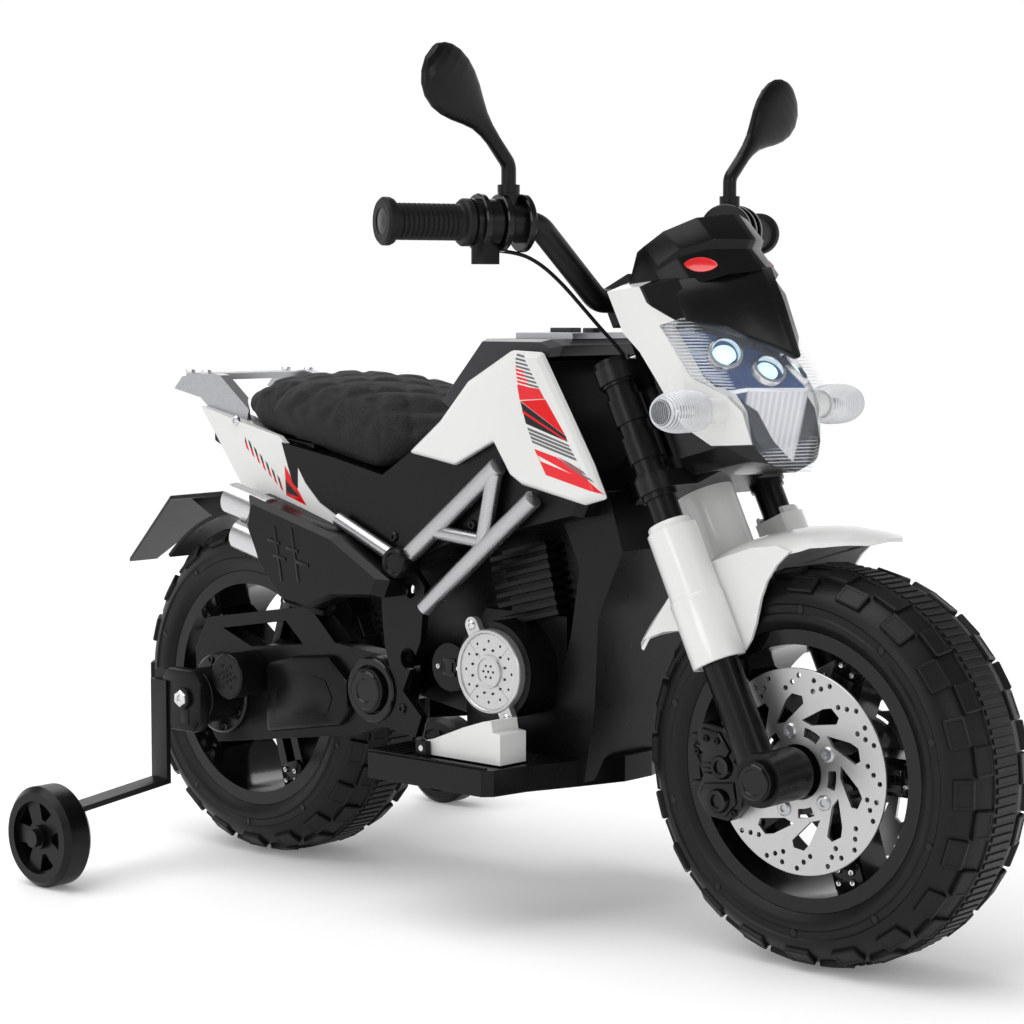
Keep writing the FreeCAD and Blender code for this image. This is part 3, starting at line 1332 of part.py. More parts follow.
def tail_panels(*neighbours):
    points = side_points(TAIL_SHARES, TAIL_SPAN_SHARES, n.tail_low, n.tail_height)
    rear = min(x for x, _ in points)
    length = max(x for x, _ in points) - rear
    lean = math.tan(math.radians(n.tail_turn_angle))
    outer = n.body_half_width + n.tail_thickness
    far = [Vector(x, -(outer - lean * (rear + length - x)), z) for x, z in points]
    wires = [ring(points, -n.hugger_half_width), Part.makePolygon(far + far[:1])]
    panel = Part.makeLoft(wires, True, True).cut(list(neighbours))
    panel = max(panel.Solids, key=lambda item: item.Volume)
    node("tail_panels", feature("tail_panels", pair(panel)))
    return pair(panel)


def rack(*neighbours):
    points = side_points(RACK_SHARES, RACK_SPAN_SHARES, n.rack_low, n.rack_height)
    inner = n.rack_half_width - n.rack_rail_width
    rail = slab(points, -n.rack_half_width, -inner)
    first, last = RACK_SPAN_SHARES
    length = n.wheelbase * (last - first)
    start, stop = (spot(first, 0).x + length * share for share in RACK_DECK_SHARES)
    level = float(axle_z) + n.rack_low + n.rack_height * RACK_LEVEL_SHARE
    deck = Part.makeBox(stop - start, 2 * n.rack_half_width - n.rack_rail_width, n.rack_deck_thickness,
                        Vector(start, -inner - n.rack_rail_width / 2, level - n.rack_deck_thickness))
    middle = (start + stop) / 2
    holes = []
    for dx in (-1, 1):
        for dy in (-1, 1):
            at = Vector(middle + dx * (stop - start) / 4, dy * n.rack_screw_spacing / 2, level - n.rack_height)
            holes.append(Part.makeCylinder(n.rack_screw_radius, 2 * n.rack_height, at))
    frame = deck.fuse([rail, flipped(rail)]).cut(list(neighbours)).cut(holes).removeSplitter()
    frame = max(frame.Solids, key=lambda item: item.Volume)
    node("rear_rack", feature("rear_rack", frame))
    print("rack deck", middle, level, stop - start)
    return frame


def rear_fender(*neighbours):
    """A hugger close over the tyre and a flap that hangs out behind it."""
    low = n.tyre_radius + n.hugger_gap
    half = n.hugger_half_width
    corners = [Vector(r, y, 0) for r, y in ((low, -half), (low, half), (low + n.hugger_wall, half),
                                            (low + n.hugger_wall, -half))]
    origin = Vector(0, 0, 0)
    face = Part.Face(Part.makePolygon(corners + corners[:1]))
    face.rotate(origin, AXIS_Y, -(n.hugger_start_angle + n.hugger_sweep_angle))
    hugger = face.revolve(origin, AXIS_Y, n.hugger_sweep_angle)
    hugger.translate(off_axle(0, 0))
    reach = n.tail_overhang + n.wheelbase * FLAP_FRONT_SHARE
    wires = []
    for (u, v), wide in zip(FLAP_SHARES, (n.flap_tip_half_width, n.flap_half_width, n.flap_half_width)):
        at = off_axle(u * reach - n.tail_overhang, n.flap_low + v * n.flap_height)
        section = [at + Vector(0, y, z) for y, z in ((-wide, 0), (wide, 0), (wide, n.flap_wall), (-wide, n.flap_wall))]
        wires.append(Part.makePolygon(section + section[:1]))
    flap = Part.makeLoft(wires, True, True)
    web_points = [off_axle(u * reach - n.tail_overhang, n.flap_low + v * n.flap_height) for u, v in WEB_SHARES]
    web = slab([(p.x, p.z) for p in web_points], -n.hanger_half_width, n.hanger_half_width)
    tyre_room = across(off_axle(0, 0), -2 * half, 2 * half, low)
    hang_points = [off_axle(u * reach - n.tail_overhang, n.flap_low + v * n.flap_height) for u, v in HANGER_SHARES]
    hanger = slab([(p.x, p.z) for p in hang_points], -n.hanger_half_width, n.hanger_half_width)
    form = hugger.fuse([flap, web.cut(tyre_room), hanger.cut(tyre_room)]).cut(list(neighbours)).removeSplitter()
    form = max(form.Solids, key=lambda item: item.Volume)
    node("rear_fender", feature("rear_fender", form))
    return form


def swingarm(pivot, axle):
    points = side_points(ARM_SHARES, ARM_SPAN_SHARES, n.arm_low, n.arm_height)
    window = side_points(ARM_WINDOW_SHARES, ARM_SPAN_SHARES, n.arm_low, n.arm_height)
    inner = n.arm_inner
    outer = inner + n.arm_width
    arm = slab(points, -outer, -inner).cut(slab(window, -2 * outer, 0))
    ring_boss = across(pivot, -outer, -inner, n.pivot_ring_radius)
    tie = off_axle(n.tyre_radius + 2 * n.hugger_gap, n.pivot_height / 2)
    bar = across(tie, -inner, 0, n.hugger_gap)
    arm = arm.fuse([ring_boss, bar])
    arm = arm.cut([across(pivot, -2 * outer, 0, n.pivot_radius), across(axle, -2 * outer, 0, n.axle_radius)])
    motor_hole = across(off_axle(motor_dx, motor_dz), -2 * outer, 0, n.motor_shaft_radius + n.disc_clearance)
    form = arm.cut(motor_hole).fuse(flipped(arm)).removeSplitter()
    node("swingarm", feature("swingarm", form))
    cap_in = outer + n.plate_thickness
    shaft = across(pivot, -cap_in, cap_in, n.pivot_radius)
    caps = [across(pivot, -cap_in - n.pivot_cap_length, -cap_in, n.pivot_cap_radius)]
    caps.append(flipped(caps[0]))
    node("pivot_shaft", feature("pivot_shaft", shaft.fuse(caps).removeSplitter()))
    return form


def pivot_plates(pivot, whole):
    points = side_points(PLATE_SHARES, PLATE_SPAN_SHARES, n.plate_low, n.plate_height)
    inner = n.arm_inner + n.arm_width
    plate = slab(points, -inner - n.plate_thickness, -inner)
    ring_boss = across(pivot, -inner - n.plate_thickness, -inner, n.pivot_ring_radius)
    plate = plate.fuse(ring_boss)
    holes = [across(pivot, -2 * inner, 0, n.pivot_radius)]
    for (u, v), size in zip(PLATE_HOLE_SHARES, PLATE_HOLE_SIZE_SHARES):
        x, z = side_points(((u, v),), PLATE_SPAN_SHARES, n.plate_low, n.plate_height)[0]
        radius = size * n.wheelbase * (PLATE_SPAN_SHARES[1] - PLATE_SPAN_SHARES[0])
        holes.append(across(Vector(x, 0, z), -2 * inner, 0, radius))
    plate = plate.cut(holes).cut(whole).removeSplitter()
    plate = max(plate.Solids, key=lambda item: item.Volume)
    node("pivot_plates", feature("pivot_plates", pair(plate)))
    return plate


def trellis(*neighbours):
    tubes = []
    for ends, stout in zip(TRELLIS_SHARES, TRELLIS_STOUT_SHARES):
        a, b = (Vector(x, -n.trellis_out, z)
                for x, z in side_points(ends, TRELLIS_SPAN_SHARES, n.trellis_low, n.trellis_height))
        tubes.append(straight(a, b, stout * n.trellis_radius))
    frame = tubes[0].fuse(tubes[1:])
    foot = side_points(TRELLIS_SHARES[0][:1], TRELLIS_SPAN_SHARES, n.trellis_low, n.trellis_height)[0]
    boss_out = n.trellis_out + n.trellis_radius + n.overrun
    boss = across(Vector(foot[0], 0, foot[1]), -boss_out, -n.body_half_width, n.boss_radius)
    frame = frame.fuse(boss).cut(list(neighbours)).removeSplitter()
    frame = max(frame.Solids, key=lambda item: item.Volume)
    node("trellis_tubes", feature("trellis_tubes", pair(frame)))
    return frame


def silencer(*neighbours):
    points = side_points(SILENCER_SHARES, SILENCER_SPAN_SHARES, n.silencer_low, n.silencer_height)
    inner = n.body_half_width
    outer = inner + n.silencer_width
    body = crowned(points, -inner, -(outer - n.silencer_crown), -outer, 2 * n.silencer_crown)
    body = body.cut(list(neighbours))
    body = max(body.Solids, key=lambda item: item.Volume)
    along = Vector(SILENCER_SLOPE_SHARES[0], 0, SILENCER_SLOPE_SHARES[1]).normalize()
    tips = []
    for x, z in side_points(TIP_SHARES, SILENCER_SPAN_SHARES, n.silencer_low, n.silencer_height):
        start = Vector(x, -(inner + n.silencer_width / 2), z) - along * n.tip_length
        outside = Part.makeCylinder(n.tip_radius, n.tip_length + n.tip_radius, start, along)
        inside = Part.makeCylinder(n.tip_radius - n.tip_wall, n.tip_length, start, along)
        tip = outside.cut(inside).cut(body)
        tips.append(max(tip.Solids, key=lambda item: item.Volume))
    node("silencer", feature("silencer", body))
    node("silencer_tips", feature("silencer_tips", Part.makeCompound(tips)))
    return Part.makeCompound([body] + tips)


def engine(whole, cowl, frame):
    """A dummy crankcase and finned cylinder with a round cover and the charging socket."""
    points = side_points(ENGINE_SHARES, ENGINE_SPAN_SHARES, n.engine_low, n.engine_height)
    half = n.engine_half_width
    case = slab(points, -half, half)
    clutch = off_axle(n.clutch_forward, n.clutch_height)
    drum = across(clutch, -half - n.drum_length, half, n.drum_radius)
    fins = []
    at = off_axle(n.fin_forward, n.fin_low)
    for index in range(FINS):
        fins.append(Part.makeBox(n.fin_depth, 2 * n.fin_half_width, n.fin_thickness,
                                 Vector(-n.fin_depth / 2, -n.fin_half_width, index * n.fin_pitch)))
    inset = n.fin_core_inset
    fins.append(Part.makeBox(n.fin_depth - 2 * inset, 2 * (n.fin_half_width - inset), FINS * n.fin_pitch,
                             Vector(inset - n.fin_depth / 2, inset - n.fin_half_width, 0)))
    stack = fins[0].fuse(fins[1:])
    stack.Placement = Placement(at, Rotation(AXIS_Y, -n.fin_tilt_angle))
    charge = off_axle(n.socket_forward, n.charge_height)
    boss = across(charge, -n.charge_out + n.charge_flange_thickness, 0, n.charge_boss_radius)
    block = case.fuse([drum, stack]).cut([whole, cowl, frame]).cut(boss)
    block = max(block.removeSplitter().Solids, key=lambda item: item.Volume)
    node("engine_block", feature("engine_block", block))
    face = half + n.drum_length
    cover = across(clutch, -face - n.clutch_thickness, -face, n.clutch_radius)
    ear_way = math.radians(n.clutch_ear_angle)
    reach = Vector(math.cos(ear_way), 0, math.sin(ear_way)) * n.clutch_ear_reach
    side = Vector(math.sin(ear_way), 0, -math.cos(ear_way)) * n.clutch_ear_radius
    bar = [clutch + reach + side, clutch - reach + side, clutch - reach - side, clutch + reach - side]
    ears = [across(clutch + reach * way, -face - n.clutch_thickness, -face, n.clutch_ear_radius) for way in (-1, 1)]
    ears.append(slab([(corner.x, corner.z) for corner in bar], -face - n.clutch_thickness, -face))
    cover = cover.fuse(ears)
    holes = []
    for index in range(CLUTCH_HOLES):
        turn = 2 * math.pi * index / CLUTCH_HOLES
        spoke = Vector(math.cos(turn), 0, math.sin(turn)) * n.clutch_hole_ring
        holes.append(across(clutch + spoke, -2 * face, 0, n.clutch_hole_radius))
    node("clutch_cover", feature("clutch_cover", cover.cut(holes).removeSplitter()))
    flange = across(charge, -n.charge_out, -n.charge_out + n.charge_flange_thickness, n.charge_flange_radius)
    bore = across(charge, -2 * n.charge_out, -n.charge_out + n.charge_bore_depth, n.charge_bore)
    socket = boss.cut(case.cut(boss)).fuse(flange).cut([bore, drum]).removeSplitter()
    socket = max(socket.Solids, key=lambda item: item.Volume)
    node("charge_socket", feature("charge_socket", socket))
    return block


def footboard(*neighbours):
    rear, front = (float(rear_x) + n.wheelbase * share for share in BOARD_SPAN_SHARES)
    right = [(rear + (front - rear) * u, -n.board_half_width * v) for u, v in BOARD_SHARES]
    left = [(x, -y) for x, y in reversed(right)]
    low = float(axle_z) + n.board_low
    corners = [Vector(x, y, low) for x, y in right + left]
    board = Part.Face(Part.makePolygon(corners + corners[:1])).extrude(AXIS_Z * n.board_thickness)
    level = low + n.board_thickness
    hinge = Vector(float(rear_x) + n.pedal_forward, 0, level + n.pedal_rear_radius + n.pedal_gap)
    half = n.pedal_width / 2
    y_low, y_high = -n.pedal_out - half, -n.pedal_out + half
    barrel = across(hinge, y_low, y_high, n.pedal_rear_radius)
    corners = [(hinge.x + n.pedal_length * u, hinge.z - n.pedal_rear_radius + (n.pedal_height) * v)
               for u, v in PEDAL_SHARES]
    pin_out = half + n.pedal_gap + n.pedal_pin_ear
    pin = across(hinge, -n.pedal_out - pin_out, -n.pedal_out + pin_out, n.pedal_pin_radius)
    pedal = slab(corners, y_low, y_high).fuse([barrel, pin]).removeSplitter()
    pocket_room = Part.makeBox(n.pedal_length + n.pedal_gap, n.pedal_width + 2 * n.pedal_gap, n.pedal_pocket_depth,
                               Vector(hinge.x, y_low - n.pedal_gap, level - n.pedal_pocket_depth))
    ears = []
    for y in (-n.pedal_out - pin_out, -n.pedal_out + half + n.pedal_gap):
        ears.append(Part.makeBox(2 * n.pedal_rear_radius, n.pedal_pin_ear, 2 * n.pedal_rear_radius + n.pedal_gap,
                                 Vector(hinge.x - n.pedal_rear_radius, y, level)))
    pin_room = across(hinge, -2 * n.pedal_out, 0, n.pedal_pin_radius + n.running_gap)
    board = board.fuse(ears).cut([pocket_room, pin_room]).cut(list(neighbours)).removeSplitter()
    board = max(board.Solids, key=lambda item: item.Volume)
    node("footboard", feature("footboard", board))
    node("foot_pedal", feature("foot_pedal", pedal))
    print("pedal hinge", hinge, "footboard top", level)
    return board


def rear_drive(axle):
    """Gear on the wheel, pinion on the motor, and the housing between wheel and arm."""
    face = n.hub_width / 2
    gear = involute_gear(DRIVE_TEETH, n.gear_width, n.axle_radius + n.running_gap)
    gear.translate(axle - AXIS_Y * (face + n.gear_width))
    node("drive_gear", feature("drive_gear", gear))
    motor = off_axle(motor_dx, motor_dz)
    shaft_out = n.arm_inner + n.arm_width + n.seat_gap
    pinion = involute_gear(PINION_TEETH, n.gear_width - n.overrun, n.motor_shaft_radius)
    # turn the pinion so that one of its gaps faces the gear tooth on the line of centres
    gap_turn = FULL_TURN / PINION_TEETH / 2
    offset = n.motor_angle * DRIVE_TEETH / PINION_TEETH
    pinion.rotate(Vector(0, 0, 0), AXIS_Y, -(FULL_TURN / 2 + n.motor_angle + gap_turn + offset))
    pinion.translate(motor - AXIS_Y * (face + n.gear_width - n.overrun / 2))
    shaft = across(motor, -shaft_out - n.motor_shaft_engage, -face - n.overrun / 2, n.motor_shaft_radius)
    node("motor_pinion", feature("motor_pinion", pinion.fuse(shaft).removeSplitter()))

    inner = face + n.overrun / 2
    cap_in = face + n.gear_width + n.overrun / 2
    drum_room = n.gear_module * (DRIVE_TEETH + 2) / 2 + n.overrun
    lobe_room = n.gear_module * (PINION_TEETH + 2) / 2 + n.overrun
    outside = across(axle, -n.arm_inner, -inner, drum_room + n.gearbox_wall)
    lobe = across(motor, -n.arm_inner, -inner, lobe_room + n.gearbox_wall)
    rooms = [across(axle, -cap_in, 0, drum_room), across(motor, -cap_in, 0, lobe_room),
             across(axle, -2 * n.arm_inner, 0, n.axle_radius),
             across(motor, -2 * n.arm_inner, 0, n.motor_shaft_radius + n.disc_clearance)]
    node("gearbox_housing", feature("gearbox_housing", outside.fuse(lobe).cut(rooms).removeSplitter()))
    mount = n.arm_inner + n.arm_width
    can = across(motor, -mount - n.motor_length, -mount, n.motor_radius)
    shaft_room = across(motor, -mount - n.motor_shaft_engage - 2 * n.seat_gap, 0,
                        n.motor_shaft_radius + n.running_gap)
    node("drive_motor", feature("drive_motor", can.cut(shaft_room)))

    end = n.bracket_out + n.bracket_thickness
    rod = across(axle, -end - n.axle_nut_length, end + n.axle_nut_length, n.axle_radius)
    nuts = [across(axle, -end - n.axle_nut_length, -end, n.axle_nut_radius)]
    spacer = across(axle, face + n.seat_gap, n.arm_inner, n.spacer_radius)
    bosses = [across(axle, -n.bracket_out, -mount, n.gearbox_boss_radius)]
    nuts.append(flipped(nuts[0]))
    bosses.append(flipped(bosses[0]))
    form = rod.fuse(nuts + bosses + [spacer]).removeSplitter()
    node("rear_axle", feature("rear_axle", form))


def stabilisers(axle):
    """A bracket at each end of the rear axle, a bent bar and a small spoked wheel."""
    inner, outer = n.bracket_out, n.bracket_out + n.bracket_thickness
    back = n.side_wheel_back
    half = n.strut_width / 2
    plate = slab([(axle.x - back - half, axle.z - n.bracket_height / 2), (axle.x + half, axle.z - n.bracket_height / 2),
                  (axle.x + half, axle.z + n.bracket_height / 2),
                  (axle.x - back - half, axle.z + n.bracket_height / 2)], -outer, -inner)
    plate = plate.cut(across(axle, -2 * outer, 0, n.axle_radius))
    wheel_in = n.side_wheel_out - n.side_wheel_width / 2
    tab_out = wheel_in - n.overrun
    tab_in = tab_out - n.strut_thickness
    thick = n.strut_thickness
    hub = Vector(axle.x - back, 0, n.side_wheel_radius)
    top = axle.z + n.strut_top
    bend = n.strut_bend
    profile = [(outer, top), (outer + thick, top), (outer + thick, bend + thick), (tab_in, hub.z + 2 * half),
               (tab_out, hub.z + 2 * half), (tab_out, hub.z - half), (tab_in, hub.z - half),
               (tab_in, hub.z + 2 * half - thick), (outer, bend)]
    corners = [Vector(hub.x - half, -y, z) for y, z in profile]
    strut = Part.Face(Part.makePolygon(corners + corners[:1])).extrude(AXIS_X * (2 * half))
    strut = strut.cut(across(hub, -2 * tab_out, 0, n.side_bolt_radius))
    wheel_out = n.side_wheel_out + n.side_wheel_width / 2
    head_in = wheel_out + n.seat_gap
    bolt = across(hub, -head_in - n.side_bolt_head_length, -tab_in, n.side_bolt_radius)
    head = across(hub, -head_in - n.side_bolt_head_length, -head_in, n.side_bolt_head_radius)
    washer = across(hub, -wheel_in + n.seat_gap, -tab_out, n.side_bolt_head_radius)
    bolt = bolt.fuse([head, washer]).removeSplitter()
    struts = [plate, strut, bolt]
    struts += [flipped(item) for item in struts]
    node("stabiliser_struts", feature("stabiliser_struts", Part.makeCompound(struts)))
    form = side_wheel_form()
    for name, way in (("right", -1), ("left", 1)):
        label = "stabiliser_wheel_" + name
        node(label, put(together(label, form), rear_x - s.side_wheel_back, way * s.side_wheel_out, s.side_wheel_radius))


def side_wheel_form():
    body = doc.addObject("PartDesign::Body", "side_wheel_form")
    bore = s.side_bolt_radius + s.running_gap
    half = s.side_wheel_width / 2
    edge = s.side_wheel_radius - s.strut_thickness
    side = [(s.side_wheel_radius, half - s.strut_thickness), (edge, half), (s.side_hub_radius, half),
            (s.side_hub_radius, half - s.strut_thickness), (s.side_core_radius, half - s.strut_thickness),
            (s.side_core_radius, half), (bore, half)]
    profile = side + [(u, -v) for u, v in reversed(side)]
    turned = body.newObject("PartDesign::Revolution", "side_wheel_ring")
    turned.Profile = outline_sketch(body, "side_wheel_profile", "XY_Plane", profile)
    turned.ReferenceAxis = (plane(body, "Y_Axis"), [""])
    turned.Angle = FULL_TURN
    start = s.side_core_radius + s.strut_thickness
    reach = s.side_hub_radius - s.strut_thickness / 2
    corners = [(start, -s.strut_thickness / 2), (reach, -s.strut_width / 2), (reach, s.strut_width / 2),
               (start, s.strut_thickness / 2)]
    window = pocket(body, outline_sketch(body, "side_wheel_window", "XZ_Plane", corners))
    around(body, "side_wheel_windows", [window], SPOKES)
    return body


def power_pack(frame):
    level = float(axle_z) + n.beam_low + n.beam_thickness
    pack = Part.makeBox(n.battery_length, 2 * n.battery_half_width, n.battery_height,
                        Vector(float(rear_x) + n.battery_forward, -n.battery_half_width, level))
    pack = pack.cut(frame)
    node("battery", feature("battery", pack))


def shocks(whole, arm):
    """A damper rod with two cups and a coil of round wire between them, on each side."""
    foot = spot(*SHOCK_FOOT_SHARES[:1], SHOCK_FOOT_SHARES[1] * n.arm_height + n.arm_low)
    out = n.arm_inner + n.arm_width / 2
    foot = foot - AXIS_Y * out
    way = Vector(SHOCK_WAY_SHARES[0], 0, SHOCK_WAY_SHARES[1]).normalize()
    length = n.spring_pitch * SPRING_TURNS + n.spring_wire
    cup = 2 * n.spring_wire
    seat_low = foot + way * n.shock_foot
    core_radius = n.spring_radius - n.spring_wire - n.disc_clearance
    rod = Part.makeCylinder(core_radius, n.shock_foot + length + 2 * n.shock_foot, foot, way)
    cups = [Part.makeCylinder(n.spring_radius + n.spring_wire, cup, seat_low - way * cup, way),
            Part.makeCylinder(n.spring_radius + n.spring_wire, cup, seat_low + way * length, way)]
    body = rod.fuse(cups).cut([whole, arm]).removeSplitter()
    body = max(body.Solids, key=lambda item: item.Volume)
    node("shock_bodies", feature("shock_bodies", pair(body)))
    wire, points = coil(n.spring_radius - n.spring_wire / 2)
    spring = tube(wire, n.spring_wire / 2)
    turn = Rotation(AXIS_Z, way)
    spring.Placement = Placement(seat_low + way * (n.spring_wire / 2), turn)
    node("shock_springs", feature("shock_springs", pair(spring)))
    gap = min((a - b).Length for i, a in enumerate(points) for b in points[i + COIL_ARCS // 2:])
    print("spring gap", round(gap - n.spring_wire, 2), "length", round(wire.Length, 1))


def coil(radius):
    """A rising coil of quarter-turn arcs that meet smoothly."""
    step = 2 * math.pi / COIL_ARCS
    slope = math.atan2(n.spring_pitch, 2 * math.pi * radius)

    def at(turn):
        return Vector(radius * math.cos(turn), radius * math.sin(turn), n.spring_pitch * turn / (2 * math.pi))

    def ahead(turn):
        flat = Vector(-math.sin(turn), math.cos(turn), 0) * math.cos(slope)
        return flat + AXIS_Z * math.sin(slope)

    edges = []
    points = []
    for index in range(COIL_ARCS * SPRING_TURNS):
        a, b = at(index * step), at((index + 1) * step)
        start, stop = ahead(index * step), ahead((index + 1) * step)
        chord = b - a
        both = start + stop
        reach = (-chord.dot(both) + math.sqrt(chord.dot(both) ** 2
                 + 2 * (1 - start.dot(stop)) * chord.dot(chord))) / (2 * (1 - start.dot(stop)))
        first = a + start * reach
        second = b - stop * reach
        joint = (first + second) / 2
        for begin, corner, end in ((a, first, joint), (joint, second, b)):
            inward = ((begin + end) / 2 - corner).normalize()
            half = (begin - end).Length / 2
            tall = (begin - corner).Length
            rise = ((begin + end) / 2 - corner).Length
            bend = tall * half / rise
            deep = math.sqrt(bend ** 2 + tall ** 2) - bend
            edges.append(Part.Arc(begin, corner + inward * deep, end).toShape())
        points += [a, joint]
    return Part.Wire(edges), points


CONSOLE_SPAN_SHARES = (0.528, 0.628)
SEAT_CROWN_SHARE = 0.22
SEAT_FOOT_SHARE = 0.93
SEAT_TOP_SHARE = 0.93
RACK_LEVEL_SHARE = 0.97
WEB_SHARES = ((0.42, 0.85), (0.93, 1.0), (1.0, 1.0), (1.0, 0.80), (0.60, 0.60))
HANGER_SHARES = ((0.82, 0.98), (1.00, 0.98), (1.00, 1.60), (0.86, 1.70))
PEDAL_SHARES = ((0.0, 0.30), (0.22, 0.50), (0.50, 0.76), (0.78, 0.97), (0.88, 1.00), (0.90, 0.74),
                (1.00, 0.71), (1.00, 0.00), (0.0, 0.00))
SHOCK_FOOT_SHARES = (0.184, 0.93)
SHOCK_WAY_SHARES = (0.42, 0.91)
COIL_ARCS = 8


def chassis():
    axle = off_axle(0, 0)
    pivot = off_axle(n.pivot_forward, n.pivot_height)
    frame = main_frame(pivot)
    whole, cowl = body_shells(frame)
    cover, top = tank(whole)
    core = tail(whole)
    cushion = seat(whole, core, top)
    arm = swingarm(pivot, axle)
    plate = pivot_plates(pivot, whole)
    bars = trellis(plate, cover, whole)
    exhaust = silencer(plate, bars, arm)
    panels = tail_panels(whole, core, cushion, exhaust, bars)
    carrier = rack(core, cushion, panels)
    rear_fender(core, panels, carrier, whole)
    block = engine(whole, cowl, frame)
    footboard(block, cowl)
    rear_drive(axle)
    stabilisers(axle)
    power_pack(frame)
    shocks(whole, arm)


def main():
    wheels()
    legs, column = fork()
    doc.recompute()
    fender(legs, column)
    handlebar()
    headlight(column)
    throttle_lead()
    chassis()
    doc.recompute()
    broken = [obj.Label for obj in doc.Objects if "Invalid" in obj.State or "Error" in obj.State]
    bad = [label for label, obj in nodes.items() if obj.Shape.isNull() or not obj.Shape.isValid()]
    if broken or bad:
        raise RuntimeError(f"failed objects {broken}, bad shapes {bad}")
    os.makedirs("parts", exist_ok=True)
    for label, obj in nodes.items():
        obj.Shape.exportStep(f"parts/{label}.step")


main()
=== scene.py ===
import json
import math

import bmesh
import bpy
from mathutils import Matrix, Vector


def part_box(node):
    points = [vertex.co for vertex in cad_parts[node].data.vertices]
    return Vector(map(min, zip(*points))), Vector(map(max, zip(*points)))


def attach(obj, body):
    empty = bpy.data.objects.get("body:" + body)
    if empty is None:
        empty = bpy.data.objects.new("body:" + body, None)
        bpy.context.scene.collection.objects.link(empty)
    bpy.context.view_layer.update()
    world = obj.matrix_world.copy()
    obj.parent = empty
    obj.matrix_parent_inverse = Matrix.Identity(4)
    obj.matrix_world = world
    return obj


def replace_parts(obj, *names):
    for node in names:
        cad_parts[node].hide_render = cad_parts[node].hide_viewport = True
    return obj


# The dressed child's motorbike, in metres, in the frame of its solids:
# +X forward, +Y to the rider's left, +Z up.
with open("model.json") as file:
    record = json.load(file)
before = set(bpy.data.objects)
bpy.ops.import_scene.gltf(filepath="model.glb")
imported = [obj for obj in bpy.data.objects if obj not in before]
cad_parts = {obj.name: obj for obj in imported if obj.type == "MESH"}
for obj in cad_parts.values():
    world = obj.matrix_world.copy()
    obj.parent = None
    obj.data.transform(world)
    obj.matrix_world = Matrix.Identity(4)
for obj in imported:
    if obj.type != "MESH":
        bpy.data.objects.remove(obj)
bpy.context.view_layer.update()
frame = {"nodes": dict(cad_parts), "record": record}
nodes = frame["nodes"]

REAR = Vector((-0.2925, 0, 0.16))
FRONT = Vector((0.3475, 0, 0.16))
RAKE = math.radians(25.8)
X, Y = Vector((1, 0, 0)), Vector((0, 1, 0))
# Centres on the bike's sides: forward and up, in millimetres.
FRONT_HUB, REAR_HUB, CLUTCH, ARM_PIVOT = (347.5, 160), (-292.5, 160), (61.5, 216), (-84.5, 185)
# Sockets of the mix node: its share, its two colours and the colour that comes out.
MIX_SHARE, MIX_BELOW, MIX_ABOVE, MIX_OUT = 0, 6, 7, 2


def lean(x, y, z):
    """A point of the leaning fork frame, in millimetres from the front axle."""
    forward = x * math.cos(RAKE) - z * math.sin(RAKE)
    up = x * math.sin(RAKE) + z * math.cos(RAKE)
    return FRONT + Vector((forward, y, up)) / 1000


AHEAD = (lean(1, 0, 0) - FRONT).normalized()
RISE = (lean(0, 0, 1) - FRONT).normalized()


# Materials
class Flow:
    """A value or colour on its way through a material's nodes."""

    def __init__(self, look, socket):
        self.look = look
        self.socket = socket

    def math(self, operation, *others):
        return self.look.node("ShaderNodeMath", {"operation": operation}, self, *others)

    def __add__(self, other):
        return self.math("ADD", other)

    def __sub__(self, other):
        return self.math("SUBTRACT", other)

    def __rsub__(self, other):
        return self.look.node("ShaderNodeMath", {"operation": "SUBTRACT"}, other, self)

    def __mul__(self, other):
        return self.math("MULTIPLY", other)

    def __truediv__(self, other):
        return self.math("DIVIDE", other)

    __radd__ = __add__
    __rmul__ = __mul__

    def out(self, name):
        return Flow(self.look, self.socket.node.outputs[name])


